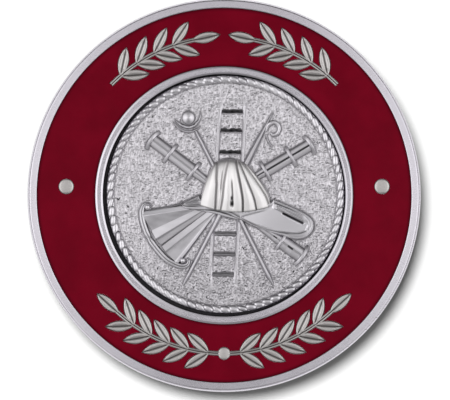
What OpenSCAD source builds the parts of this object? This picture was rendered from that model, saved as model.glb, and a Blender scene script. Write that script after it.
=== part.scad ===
// Round two-piece insignia pin, lying face up on its fastening.
// The origin is on the surface it rests on, under the centre. +Z is the face's outward side
// and +Y the top of the badge. All sizes are in millimetres.

/* [Badge] */
// Outer diameter of the badge
badge_d = 31.75; // [31:0.25:34]
// Thickness of the struck base at its rims
base_t = 2.1; // [1.9:0.1:2.6]
// Height of the base's back face above the resting surface
back_z = 4.05; // [4.05:0.05:5]
// Width of the polished outer rim
outer_rim_w = 0.745; // [0.7:0.005:1.1]
// Width of the rounded shoulder on the outer rim
shoulder_w = 0.5; // [0.3:0.05:0.6]
// Fall of the rounded shoulder from the rim's top
shoulder_fall = 0.45; // [0.3:0.05:0.7]
// Radius of the inner rim's outer edge
inner_rim_r = 10.4; // [10.3:0.05:10.6]
// Radius of the recess that holds the seal
recess_r = 9.79; // [9.75:0.005:9.9]
// Thickness of the base's floor under the seal
floor_t = 0.7; // [0.6:0.05:0.9]

/* [Enamel] */
// Depth of the enamel channel below the rims
channel_depth = 0.8; // [0.6:0.05:1]
// Depth of the enamel's surface below the polished metal
enamel_sink = 0.06; // [0.03:0.01:0.15]
// Gap between enamel and metal
enamel_gap = 0.03; // [0.02:0.01:0.06]

/* [Ornaments] */
// Radius of the circle that carries the stems and dots
ornament_r = 12.76; // [12.6:0.02:12.9]
// Length of one leaf
leaf_l = 2.35; // [2:0.05:2.5]
// Width of one leaf
leaf_w = 0.86; // [0.7:0.02:0.9]
// Angle between a leaf and its stem
leaf_splay = 37; // [30:1:42]
// Distance along the stem from one pair of leaves to the next
leaf_pitch = 1.62; // [1.5:0.02:1.8]
// Width of the stem
stem_w = 0.34; // [0.25:0.01:0.45]
// Length of bare stem before the first pair of leaves
stem_lead = 1; // [0.8:0.05:1.1]
// Radius of the round dots at the left and right
dot_r = 0.6; // [0.5:0.05:0.7]
// Angle of the dots above the horizontal
dot_angle = 3.2; // [0:0.1:5]

/* [Seal] */
// Diameter of the struck seal
seal_d = 19.16; // [19:0.02:19.3]
// Thickness of the seal's disc under its ground
disc_t = 0.9; // [0.7:0.05:1]
// Shift of the seal in its recess, to the right and up
seal_shift = [0.11, 0.07];
// Number of strands round the rope border
strands = 84; // [72:2:96]
// Width of the rope border
rope_w = 0.56; // [0.5:0.01:0.6]
// Height of the rope above the ground
rope_h = 0.42; // [0.3:0.02:0.5]
// Distance that a strand leans along the rope, from its inner to its outer side
strand_lean = 0.42; // [0.2:0.02:0.6]

/* [Emblem] */
// Rise of the helmet's crown above the ground
crown_rise = 0.95; // [0.8:0.05:1.1]
// Height of the helmet's brim above the ground
brim_h = 0.4; // [0.3:0.05:0.5]
// Height of the brim's rolled lip above the ground
lip_h = 0.52; // [0.4:0.02:0.6]
// Height of the ladder's rails above the ground
rail_h = 0.3; // [0.2:0.02:0.4]
// Width of the ladder's rails
rail_w = 0.26; // [0.2:0.02:0.32]
// Width between the centres of the ladder's rails
ladder_w = 1.95; // [1.8:0.05:2.1]
// Distance between the ladder's rungs
rung_pitch = 1.65; // [1.6:0.01:1.7]
// Diameter of the crossed poles
pole_d = 0.44; // [0.34:0.02:0.5]
// Largest half width of a trumpet's bell
bell_r = 1.5; // [1.4:0.05:1.55]
// Length from the trumpets' mouths to the far edge of their bells
trumpet_l = 5.7; // [5.5:0.05:5.8]

/* [Fastening] */
// Length of the strip on the back
strip_l = 25; // [22:0.5:27]
// Width of the strip
strip_w = 4.5; // [4:0.1:5.5]
// Thickness of the strip
strip_t = 0.8; // [0.6:0.05:1]
// Gap between the strip and the base
strip_gap = 0.05; // [0.03:0.01:0.1]
// Diameter of the pin stem
stem_d = 0.9; // [0.8:0.05:1]
// Distance from the badge's centre to the middle of the joint block and of the catch
foot_x = 10.4; // [9:0.1:11]

/* [Hidden] */
fine = 96;
relief_fn = 12;
far = 40;

// Derived radii and heights of the base
badge_r = badge_d / 2;
channel_r = badge_r - outer_rim_w;
top_z = back_z + base_t;
channel_z = top_z - channel_depth;
recess_z = back_z + floor_t;
edge = 0.12;
inner_bevel = 0.17;
shoulder_steps = 5;

// Derived places of the seal and the fastening
seal_gap = 0.05;
seal_r = seal_d / 2;
seal_z = recess_z + seal_gap;
strip_z = back_z - strip_gap - strip_t;
foot_l = 3.2;
catch_l = 2.4;
foot_w = 4;
pin_z = 1.65;
bore_r = 0.75;
slot_h = 1;
tip_l = 3;
tip_taper = 0.25;
tip_inset = 0.3;
stem_l = 2 * foot_x + catch_l / 2 - tip_inset;

// Leaf sprays: the angle of the first pair of leaves and the number of pairs
sprays = [
    // angle of the first pair, pairs
    [-84.5, 5],
    [49, 4],
];
tie_r = 0.5;

// A leaf's outline is where two circles cross
leaf_arc_r = (pow(leaf_l / 2, 2) + pow(leaf_w / 2, 2)) / leaf_w;
leaf_arc_x = leaf_arc_r - leaf_w / 2;

// Rope: rings of points for each strand, angles of the points round a ring, size of the
// ring between two strands, and the rope's place in the disc
rings_per_strand = 3;
rope_sides = [0, 40, 90, 140, 180, 270];
rope_valley = 0.74;
rope_inset = 0.03;
rope_sink = 0.06;

// Emblem: sizes along each turned pipe, in order from its outer end
pipe_rows = [
    // distance from the end, radius
    [0, 0.84], [0.26, 0.84], [0.3, 0.48], [1.72, 0.46], [1.76, 0.92], [2.04, 0.92],
    [2.08, 0.46], [4.2, 0.5], [4.24, 0.88], [4.5, 0.88], [4.54, 0.32], [5.6, 0.26],
];
pipe_flatness = 0.55;
pipes = [
    // outer end, direction in degrees, rows used
    [[-5.9, 4.34], -37.6, 12],
    [[6.98, 4.06], 211.4, 12],
    [[6.22, -5.02], 142.4, 8],
];

// Emblem: the two poles, from end to end
poles = [
    [[-3.14, -7.35], [3.78, 6.6]],
    [[-2.35, 5.1], [3.86, -7.25]],
];
pole_taper = 0.8;
pole_flatness = 1.3;

// Emblem: hook, crescent and ball
hook_at = [4.02, 5.15];
hook_r = 0.55;
hook_w = 0.26;
hook_from = -200;
hook_turn = 320;
ball_at = [-2.93, 6.1];
ball_r = 0.5;
ball_flatness = 0.85;
crescent_r = 0.82;
crescent_w = 0.3;
crescent_from = 160;
crescent_turn = 250;

// Emblem: the ladder's line and rungs
ladder_tilt = 3;
ladder_at = [0.3, 0];
ladder_top = 7.7;
ladder_foot = -7.7;
rungs_above = [2, 3, 4];
rungs_below = [-4, -3, -2];
rung_shift = 0.1;
rung_w = 0.34;
rung_h = 0.2;

// Emblem: trumpets, fanned from one point
fan_at = [-1.17, -1.14];
trumpet_dirs = [195.5, 226.5];
trumpet_flatness = 0.34;
trumpet_fn = 10;
mouth_r = 0.2;
bell_w = 0.46;
bell_h = 0.5;
bell_from = 178;
bell_turn = 66;
curls = [[-6.32, -1.08], [-3.4, -5.38]];
curl_r = 0.28;
curl_w = 0.24;
curl_h = 0.34;

// Helmet: rows across the crown, from the brim to the top
crown_rows = [
    // left x, left y, right x, right y, bulge, share of the rise
    [-2.02, -0.92, 3.86, -0.98, -0.66, 0.72],
    [-1.84, -0.1, 3.5, 0, -0.4, 0.9],
    [-1.55, 0.95, 2.9, 1.05, -0.08, 1],
    [-1.2, 1.85, 2.36, 1.8, 0.2, 0.92],
    [-0.98, 2.35, 2.02, 2.2, 0.4, 0.66],
    [-0.84, 2.55, 1.84, 2.36, 0.45, 0.16],
];
crown_ribs = [0.05, 0.19, 0.29, 0.45, 0.61, 0.78, 0.91];
rib_groove = 0.09;
groove_half = 0.018;
crown_fullness = 0.42;

// Helmet: outline of the brim and of the hollow in it, followed by a smooth curve
brim_points = [
    [-3.5, -1.1], [-3.42, -0.68], [-2.8, -0.34], [-1.98, -0.02], [-1.5, -0.5], [3.2, -0.7],
    [3.86, -0.4],
    [5, -0.78], [6.3, -1.34], [7.02, -2.04], [7.12, -2.7], [6.7, -3.42], [5.9, -3.7],
    [4.7, -3.36], [3.3, -3.02], [1.6, -2.3], [0.2, -1.98], [-1, -1.62], [-2.4, -1.36],
];
scoop_points = [
    [1.5, -1.8], [2.8, -1.4], [4.3, -1.15], [5.4, -1.5], [6.4, -2.15], [6.62, -2.7],
    [5.9, -3.08], [4.6, -3], [3.2, -2.72], [2, -2.3],
];
lip_step = 0.09;
curve_steps = 4;

// Depth to which the helmet's solids reach into the disc
relief_sink = 0.3;

// Point t of the way along a smooth curve from b to c, with a and d as its neighbours
function smooth_point(a, b, c, d, t) =
    0.5 * (2 * b + (c - a) * t + (2 * a - 5 * b + 4 * c - d) * t * t
        + (3 * b - a - 3 * c + d) * t * t * t);

// Closed smooth curve through the points, with n steps from each to the next
function smooth_loop(points, n) = let (count = len(points)) [
    for (i = [0 : count - 1]) for (k = [0 : n - 1])
        smooth_point(points[(i + count - 1) % count], points[i], points[(i + 1) % count],
            points[(i + 2) % count], k / n)
];

// Four-sided face of two triangles
function quad(a, b, c, d) = [[a, b, c], [a, c, d]];

// Faces of a slab: a grid of top points, then the same grid of points at its underside
function slab_faces(rows, columns) = let (under = rows * columns) concat(
    [for (i = [0 : rows - 2]) for (j = [0 : columns - 2])
        let (a = i * columns + j, b = a + columns)
        each concat(quad(a, b, b + 1, a + 1),
            quad(under + a, under + a + 1, under + b + 1, under + b))],
    [for (j = [0 : columns - 2]) let (a = j, b = (rows - 1) * columns + j)
        each concat(quad(a, a + 1, under + a + 1, under + a),
            quad(b, under + b, under + b + 1, b + 1))],
    [for (i = [0 : rows - 2]) let (a = i * columns, b = a + columns - 1)
        each concat(quad(a, under + a, under + a + columns, a + columns),
            quad(b, b + columns, under + b + columns, under + b))]
);

// Faces of a grid of points that closes both ways, like a ring
function ring_faces(rows, columns) = [
    for (i = [0 : rows - 1]) for (j = [0 : columns - 1])
        let (k = (j + 1) % columns, next = (i + 1) % rows)
        each quad(i * columns + j, i * columns + k, next * columns + k, next * columns + j)
];

// Leaf outline along +X from the origin, larger all round by grow
module leaf_shape(grow) {
    translate([leaf_l / 2, 0])
        intersection() {
            translate([0, leaf_arc_x]) circle(r = leaf_arc_r + grow, $fn = fine);
            translate([0, -leaf_arc_x]) circle(r = leaf_arc_r + grow, $fn = fine);
        }
}

// Part of a ring round the badge's centre
module arc_band(r, w, from, to) {
    intersection() {
        difference() {
            circle(r = r + w / 2, $fn = fine);
            circle(r = r - w / 2, $fn = fine);
        }
        polygon([[0, 0], far * [cos(from), sin(from)],
            far * [cos((from + to) / 2), sin((from + to) / 2)], far * [cos(to), sin(to)]]);
    }
}

// One spray: a curved stem with pairs of leaves and a leaf at its tip
module spray_shape(start, pairs, grow) {
    step = leaf_pitch / ornament_r * 180 / PI;
    tip = start + pairs * step;
    base = start - (stem_lead + grow) / ornament_r * 180 / PI;
    arc_band(ornament_r, stem_w + 2 * grow, base, tip + step / 8);
    for (i = [0 : pairs - 1], side = [-1, 1])
        rotate(start + i * step)
            translate([ornament_r, 0])
                rotate(90 + side * leaf_splay) leaf_shape(grow);
    rotate(tip) translate([ornament_r, 0]) rotate(90) leaf_shape(grow);
}

// Every ornament in the channel, larger all round by grow
module ornament_shapes(grow) {
    for (side = [0, 1]) mirror([side, 0]) {
        for (row = sprays) spray_shape(row[0], row[1], grow);
        rotate(dot_angle) translate([ornament_r, 0]) circle(r = dot_r + grow, $fn = fine);
    }
    translate([0, -ornament_r]) circle(r = tie_r + grow, $fn = fine);
}

// Struck base: rims, channel, recess and the ornaments that stand in the channel
module badge_body() {
    land_r = badge_r - shoulder_w;
    color("silver") {
        rotate_extrude($fn = fine)
            polygon(concat(
                [[0, back_z], [badge_r - edge, back_z], [badge_r, back_z + edge]],
                [for (i = [0 : shoulder_steps])
                    let (a = 90 * i / shoulder_steps)
                    [land_r + shoulder_w * cos(a), top_z - shoulder_fall * (1 - sin(a))]],
                [[channel_r, top_z], [channel_r, channel_z],
                    [inner_rim_r, channel_z], [inner_rim_r, top_z - inner_bevel],
                    [inner_rim_r - inner_bevel, top_z], [recess_r + inner_bevel, top_z],
                    [recess_r, top_z - inner_bevel], [recess_r, recess_z], [0, recess_z]]
            ));
        translate([0, 0, channel_z - edge])
            linear_extrude(height = channel_depth + edge) ornament_shapes(0);
    }
}

// Enamel ring with a hole round each ornament
module enamel() {
    bottom = channel_z + enamel_gap;
    height = top_z - enamel_sink - bottom;
    color("darkred")
        translate([0, 0, bottom])
            linear_extrude(height = height)
                difference() {
                    circle(r = channel_r - enamel_gap, $fn = fine);
                    circle(r = inner_rim_r + enamel_gap, $fn = fine);
                    ornament_shapes(enamel_gap);
                }
}

// Half-sunk bar with round ends from p to q on the ground, d1 wide at p and d2 at q
module ground_bar(p, q, d1, d2, flatness) {
    hull()
        for (end = [[p, d1], [q, d2]])
            translate([end[0][0], end[0][1], 0])
                scale([1, 1, flatness]) sphere(d = end[1], $fn = relief_fn);
}

// Flattened turned pipe whose outer end is at p
module play_pipe(p, direction, rows) {
    last = pipe_rows[rows - 1];
    translate([p[0], p[1], 0])
        rotate(direction)
            scale([1, 1, pipe_flatness])
                rotate([90, 0, 90])
                    rotate_extrude($fn = relief_fn)
                        polygon(concat([[0, 0]],
                            [for (i = [0 : rows - 1]) [pipe_rows[i][1], pipe_rows[i][0]]],
                            [[0, last[0]]]));
}

// Twisted rope round the seal's edge, each ring of points leaning along the rope
module rope() {
    rings = strands * rings_per_strand;
    mid_r = seal_r - rope_inset - rope_w / 2;
    lean = strand_lean / 2 / mid_r * 180 / PI;
    points = [
        for (i = [0 : rings - 1]) for (side = rope_sides)
            let (swell = i % rings_per_strand == 0 ? rope_valley : 1,
                r = mid_r + swell * rope_w / 2 * cos(side),
                z = swell * (rope_h + rope_sink) * sin(side) - rope_sink,
                turn = 360 * i / rings + lean * cos(side))
            [r * cos(turn), r * sin(turn), z]
    ];
    polyhedron(points, ring_faces(rings, len(rope_sides)), convexity = 4);
}

// Ladder with rails and rungs, leaning slightly to the right
module ladder() {
    translate([ladder_at[0], ladder_at[1], 0])
        rotate(-ladder_tilt) {
            for (side = [-1, 1])
                ground_bar([side * ladder_w / 2, ladder_foot], [side * ladder_w / 2, ladder_top],
                    rail_w, rail_w, 2 * rail_h / rail_w);
            for (i = concat(rungs_above, rungs_below))
                ground_bar([-ladder_w / 2, i * rung_pitch + rung_shift],
                    [ladder_w / 2, i * rung_pitch + rung_shift],
                    rung_w, rung_w, 2 * rung_h / rung_w);
        }
}

// Pike hook at the top of one pole, ball and crescent at the top of the other
module pole_heads() {
    translate([hook_at[0], hook_at[1], 0]) ring_arc(hook_r, hook_w, hook_from, hook_turn);
    translate([ball_at[0], ball_at[1], 0])
        scale([1, 1, ball_flatness]) sphere(r = ball_r, $fn = relief_fn);
    translate([ball_at[0], ball_at[1], 0])
        ring_arc(crescent_r, crescent_w, crescent_from, crescent_turn);
}

// Part of a round-section ring lying on the ground
module ring_arc(r, w, from, turn) {
    rotate(from)
        rotate_extrude(angle = turn, $fn = 2 * relief_fn)
            translate([r, 0]) circle(d = w, $fn = relief_fn);
}

// Two fanned trumpets with one rolled edge round their bells
module trumpets() {
    reach = trumpet_l - bell_w;
    for (direction = trumpet_dirs)
        translate([fan_at[0], fan_at[1], 0])
            rotate(direction)
                scale([1, 1, trumpet_flatness])
                    rotate([0, 90, 0])
                        cylinder(r1 = mouth_r, r2 = bell_r, h = reach, $fn = trumpet_fn);
    translate([fan_at[0], fan_at[1], 0])
        rotate(bell_from)
            rotate_extrude(angle = bell_turn, $fn = 3 * relief_fn)
                translate([trumpet_l - bell_w / 2, 0])
                    scale([1, 2 * bell_h / bell_w]) circle(d = bell_w, $fn = relief_fn);
    for (at = curls)
        translate([at[0], at[1], 0]) {
            cylinder(r = curl_r + curl_w / 2, h = curl_h, $fn = relief_fn);
            translate([0, 0, curl_h]) ring_arc(curl_r, curl_w, 0, 360);
        }
}

// Half-dome of the helmet, with grooves between its ribs
module crown() {
    // Places across the crown: each groove has a shoulder on both sides of it
    across = concat([0], [for (rib = crown_ribs)
        each [rib - groove_half, rib, rib + groove_half]], [1]);
    grooved = concat([0], [for (rib = crown_ribs) each [0, 1, 0]], [0]);
    top = [
        for (row = crown_rows) for (i = [0 : len(across) - 1])
            let (u = across[i], bow = 4 * u * (1 - u),
                x = row[0] + (row[2] - row[0]) * u,
                y = row[1] + (row[3] - row[1]) * u + row[4] * bow,
                z = crown_rise * row[5] * pow(bow, crown_fullness) - rib_groove * grooved[i])
            [x, y, max(z, 0)]
    ];
    under = [for (point = top) [point[0], point[1], -relief_sink]];
    polyhedron(concat(top, under), slab_faces(len(crown_rows), len(across)), convexity = 6);
}

// Brim with a rolled lip round a shallow scoop
module brim() {
    outline = smooth_loop(brim_points, curve_steps);
    scoop = smooth_loop(scoop_points, curve_steps);
    difference() {
        translate([0, 0, -relief_sink]) {
            linear_extrude(height = brim_h + relief_sink) polygon(outline);
            linear_extrude(height = lip_h + relief_sink)
                offset(delta = -lip_step) polygon(outline);
        }
        translate([0, 0, brim_h]) linear_extrude(height = lip_h) polygon(scoop);
    }
}

// Struck seal: disc, rope border and raised emblem in one piece
module seal() {
    color("gainsboro")
        translate([seal_shift[0], seal_shift[1], seal_z]) {
            cylinder(r = seal_r, h = disc_t, $fn = fine);
            translate([0, 0, disc_t]) {
                rope();
                ladder();
                for (row = poles)
                    ground_bar(row[0], row[1], pole_d, pole_d * pole_taper, pole_flatness);
                pole_heads();
                for (row = pipes) play_pipe(row[0], row[1], row[2]);
                trumpets();
                brim();
                crown();
            }
        }
}

// Foot under one end of the strip, from the resting surface to the strip
module foot(x, l, w) {
    translate([x - l / 2, -w / 2, 0]) cube([l, w, strip_z + strip_t / 2]);
}

// Plain pin fastening: strip, joint block, pointed stem and open catch
module pin_bar() {
    color("lightgrey") {
        translate([0, 0, strip_z])
            linear_extrude(height = strip_t) {
                square([strip_l - strip_w, strip_w], center = true);
                for (side = [-1, 1])
                    translate([side * (strip_l - strip_w) / 2, 0])
                        circle(d = strip_w, $fn = fine);
            }
        foot(-foot_x, foot_l, foot_w);
        translate([-foot_x, 0, pin_z]) rotate([0, 90, 0]) {
            cylinder(d = stem_d, h = stem_l - tip_l, $fn = fine);
            translate([0, 0, stem_l - tip_l])
                cylinder(d1 = stem_d, d2 = stem_d * tip_taper, h = tip_l, $fn = fine);
        }
        difference() {
            foot(foot_x, catch_l, foot_w);
            translate([foot_x - catch_l, 0, pin_z]) rotate([0, 90, 0])
                cylinder(r = bore_r, h = 2 * catch_l, $fn = fine);
            translate([foot_x - catch_l, 0, pin_z - slot_h / 2]) cube([2 * catch_l, foot_w, slot_h]);
        }
    }
}

badge_body();
enamel();
seal();
pin_bar();
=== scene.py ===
"""Round insignia pin: struck base, enamel ring, rope-edged seal of tools in relief, pin fastening.

Sizes are in millimetres where a mesh is worked out, and become metres when the mesh is made.
In the names of sizes, _l is a length, _w a width, _h a height, _t a thickness and _r a radius.
"""

import logging
import math
from dataclasses import dataclass, field, replace
from enum import Enum
from typing import Any, Callable, Sequence

import bpy
import numpy as np
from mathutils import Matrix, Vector


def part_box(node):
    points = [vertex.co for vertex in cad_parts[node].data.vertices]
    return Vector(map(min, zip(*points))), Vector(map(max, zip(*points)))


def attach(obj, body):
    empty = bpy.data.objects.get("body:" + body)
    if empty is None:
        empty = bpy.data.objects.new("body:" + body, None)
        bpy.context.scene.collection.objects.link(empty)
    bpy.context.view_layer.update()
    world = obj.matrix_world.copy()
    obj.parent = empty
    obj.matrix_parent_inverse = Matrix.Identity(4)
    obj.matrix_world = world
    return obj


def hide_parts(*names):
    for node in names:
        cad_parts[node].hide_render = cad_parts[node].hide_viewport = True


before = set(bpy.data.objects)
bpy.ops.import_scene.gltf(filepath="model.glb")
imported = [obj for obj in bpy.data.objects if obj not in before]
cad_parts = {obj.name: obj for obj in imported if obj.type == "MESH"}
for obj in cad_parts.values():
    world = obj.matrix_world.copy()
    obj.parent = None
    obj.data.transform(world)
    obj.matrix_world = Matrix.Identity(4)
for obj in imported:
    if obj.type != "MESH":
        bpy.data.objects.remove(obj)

MM = 0.001
BODY = "root"
SHADE = "shade"

Points = np.ndarray
Colour = tuple[float, float, float]
Pair = tuple[float, float]
Profile = tuple[np.ndarray, np.ndarray, np.ndarray]
Surface = Callable[[np.ndarray, np.ndarray], tuple[np.ndarray, np.ndarray]]
log = logging.getLogger("insignia_pin")


# Nodes: arithmetic on sockets, and trees for materials and for geometry

class Value:
    """A socket of a node tree that takes part in Python arithmetic."""

    def __init__(self, tree: "Tree", socket: bpy.types.NodeSocket) -> None:
        """Wraps one output socket.

        Args:
            tree: the tree that the socket belongs to.
            socket: the output socket.
        """
        self.tree = tree
        self.socket = socket

    def __add__(self, other: Any) -> "Value":
        """Sum."""
        return self.tree.maths("ADD", self, other)

    def __sub__(self, other: Any) -> "Value":
        """Difference."""
        return self.tree.maths("SUBTRACT", self, other)

    def __rsub__(self, other: Any) -> "Value":
        """Difference from a number."""
        return self.tree.maths("SUBTRACT", other, self)

    def __mul__(self, other: Any) -> "Value":
        """Product."""
        return self.tree.maths("MULTIPLY", self, other)

    def __truediv__(self, other: Any) -> "Value":
        """Quotient."""
        return self.tree.maths("DIVIDE", self, other)

    def __rtruediv__(self, other: Any) -> "Value":
        """A number over this value."""
        return self.tree.maths("DIVIDE", other, self)

    def __pow__(self, other: Any) -> "Value":
        """Power."""
        return self.tree.maths("POWER", self, other)

    __radd__ = __add__
    __rmul__ = __mul__

    def held(self) -> "Value":
        """The value held between 0 and 1."""
        return self.tree.node("ShaderNodeClamp", inputs={0: self})

    def between(self, low: float, high: float) -> "Value":
        """Smooth rise from 0 at low to 1 at high.

        Args:
            low: value that gives 0.
            high: value that gives 1.

        Returns:
            The eased value.
        """
        return self.tree.node(
            "ShaderNodeMapRange", {"interpolation_type": "SMOOTHSTEP"}, {0: self, 1: low, 2: high})


class Tree:
    """A node tree with one method that makes any node."""

    def __init__(self, tree: bpy.types.NodeTree) -> None:
        """Starts on an empty tree.

        Args:
            tree: the tree to fill.
        """
        self.tree = tree
        tree.nodes.clear()

    def node(self, kind: str, settings: dict[str, Any] | None = None,
             inputs: dict[Any, Any] | None = None, out: Any = 0) -> Value | None:
        """Makes a node, sets it, and joins or fills its sockets.

        Args:
            kind: the node's type.
            settings: its properties; "stops" are a colour ramp's positions and colours.
            inputs: values or links by socket name or index.
            out: the output to return.

        Returns:
            The chosen output, or None where the node has no output.
        """
        made = self.tree.nodes.new(kind)
        for key, value in (settings or {}).items():
            if key == "stops":
                self.set_stops(made.color_ramp, value)
            else:
                setattr(made, key, value)
        for key, value in (inputs or {}).items():
            self.fill(made.inputs[key], value)
        return Value(self, made.outputs[out]) if len(made.outputs) else None

    @staticmethod
    def set_stops(ramp: bpy.types.ColorRamp, stops: Sequence[tuple[float, Colour]]) -> None:
        """Sets a colour ramp's stops, in order of position."""
        while len(ramp.elements) < len(stops):
            ramp.elements.new(1)
        for element, (position, colour) in zip(ramp.elements, stops):
            element.position = position
            element.color = (*colour, 1)

    def fill(self, socket: bpy.types.NodeSocket, value: Any) -> None:
        """Links a value to an input, or sets a number, colour or object on it."""
        if isinstance(value, Value):
            self.tree.links.new(value.socket, socket)
        elif isinstance(value, tuple) and len(value) == 3 and socket.type == "RGBA":
            socket.default_value = (*value, 1)
        else:
            socket.default_value = value

    def maths(self, operation: str, *values: Any) -> Value:
        """One Math node on values or numbers."""
        return self.node("ShaderNodeMath", {"operation": operation}, dict(enumerate(values)))

    def vector(self, operation: str, *values: Any) -> Value:
        """One Vector Math node on vectors."""
        return self.node("ShaderNodeVectorMath", {"operation": operation}, dict(enumerate(values)))

    def part(self, vector: Value, axis: str) -> Value:
        """One part of a vector: X, Y or Z."""
        return self.node("ShaderNodeSeparateXYZ", None, {0: vector}, axis)

    def mix(self, share: Any, first: Any, second: Any) -> Value:
        """Blend of two colours.

        Args:
            share: 0 for the first, 1 for the second.
            first: first colour.
            second: second colour.

        Returns:
            The blended colour.
        """
        return self.node("ShaderNodeMix", {"data_type": "RGBA"}, {0: share, 6: first, 7: second}, 2)

    def noise(self, place: Value, size: Any, detail: float = 2.0, roughness: float = 0.5) -> Value:
        """Noise between 0 and 1.

        Args:
            place: where the noise is read.
            size: size of its grains, in the units of place.
            detail: number of finer layers.
            roughness: weight of the finer layers.

        Returns:
            The noise.
        """
        return self.node("ShaderNodeTexNoise", None,
                         {"Vector": place, "Scale": 1 / size, "Detail": detail, "Roughness": roughness})


class MaterialTree(Tree):
    """The tree of a new material, which ends in fine relief and one shader."""

    def __init__(self, name: str) -> None:
        """Makes the material.

        Args:
            name: name of the material.
        """
        self.material = bpy.data.materials.new(name)
        self.material.use_nodes = True
        super().__init__(self.material.node_tree)

    def place(self) -> Value:
        """Place on the piece, in millimetres."""
        metres = self.node("ShaderNodeTexCoord", out="Object")
        return self.node("ShaderNodeVectorMath", {"operation": "SCALE"}, {0: metres, "Scale": 1 / MM})

    def finish(self, relief: Value, depth: float, sockets: dict[str, Any],
               strength: float = 1.0) -> bpy.types.Material:
        """Ends the tree in a bump and the shader.

        Args:
            relief: height of the fine relief, between 0 and 1.
            depth: depth of the relief in millimetres.
            sockets: what the shader's other inputs get, by their names.
            strength: weight of the relief.

        Returns:
            The material.
        """
        bump = self.node("ShaderNodeBump", None,
                         {"Strength": strength, "Distance": depth * MM, "Height": relief})
        shader = self.node("ShaderNodeBsdfPrincipled", None, {**sockets, "Normal": bump})
        self.node("ShaderNodeOutputMaterial", None, {"Surface": shader})
        return self.material


class GeometryTree(Tree):
    """A geometry tree with named inputs, run once on an object and kept as a plain mesh."""

    def __init__(self, name: str) -> None:
        """Makes the tree with a geometry input and output.

        Args:
            name: name of the tree.
        """
        super().__init__(bpy.data.node_groups.new(name, "GeometryNodeTree"))
        self.values: dict[str, Any] = {}
        face = self.tree.interface
        face.new_socket(name="Geometry", in_out="INPUT", socket_type="NodeSocketGeometry")
        face.new_socket(name="Geometry", in_out="OUTPUT", socket_type="NodeSocketGeometry")
        self.group = self.tree.nodes.new("NodeGroupInput")

    def size(self, name: str, value: Any, kind: str = "NodeSocketFloat") -> Value:
        """Adds a named input and the value that the modifier gives it.

        Args:
            name: name of the input.
            value: number, object or material.
            kind: socket type of the input.

        Returns:
            The input's socket in the tree.
        """
        socket = self.tree.interface.new_socket(name=name, in_out="INPUT", socket_type=kind)
        self.values[socket.identifier] = value
        return Value(self, self.group.outputs[name])

    def start(self) -> Value:
        """The geometry that the object brings."""
        return Value(self, self.group.outputs["Geometry"])

    def copies(self, shape: Value, count: Value, x: Value, y: Value, **more: Value) -> Value:
        """Copies of an object, each at a place that follows from its index.

        Args:
            shape: the object.
            count: number of copies.
            x: a copy's place along X.
            y: a copy's place along Y.
            more: a copy's Rotation and Scale, where it has them.

        Returns:
            The copies.
        """
        points = self.node("GeometryNodeMeshLine", None, {"Count": count})
        spot = self.node("ShaderNodeCombineXYZ", None, {"X": x, "Y": y})
        spread = self.node("GeometryNodeSetPosition", None, {"Geometry": points, "Position": spot})
        source = self.node("GeometryNodeObjectInfo", None, {"Object": shape}, "Geometry")
        return self.node("GeometryNodeInstanceOnPoints", None,
                         {"Points": spread, "Instance": source, **more})

    def moved(self, geometry: Value, x: float, y: float, z: float) -> Value:
        """The geometry moved, in millimetres."""
        return self.node("GeometryNodeTransform", None,
                         {"Geometry": geometry, "Translation": tuple(Vector((x, y, z)) * MM)})

    def finish(self, geometry: Value, material: bpy.types.Material) -> None:
        """Ends the tree in Realize Instances and Set Material.

        Args:
            geometry: the geometry to hand out.
            material: its finish.
        """
        finish = self.size("Finish", material, "NodeSocketMaterial")
        real = self.node("GeometryNodeRealizeInstances", None, {0: geometry})
        dressed = self.node("GeometryNodeSetMaterial", None, {"Geometry": real, "Material": finish})
        self.node("NodeGroupOutput", None, {"Geometry": dressed})

    def run(self, obj: bpy.types.Object | None = None) -> bpy.types.Object:
        """Runs the tree on an object and keeps the result as its mesh.

        Args:
            obj: the object to change, or None for an empty one with the tree's name.

        Returns:
            The object, with a plain mesh and no modifier.
        """
        if obj is None:
            obj = linked(self.tree.name, bpy.data.meshes.new(self.tree.name))
        modifier = obj.modifiers.new(self.tree.name, "NODES")
        modifier.node_group = self.tree
        for identifier, value in self.values.items():
            modifier[identifier] = value
        bpy.context.view_layer.update()
        evaluated = obj.evaluated_get(bpy.context.evaluated_depsgraph_get())
        made = bpy.data.meshes.new_from_object(evaluated)
        obj.modifiers.remove(modifier)
        obj.data = made
        return obj


# Finishes

def scaled(colour: Colour, share: float) -> Colour:
    """A colour made darker or lighter, up to white."""
    return tuple(min(1.0, c * share) for c in colour)


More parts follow.
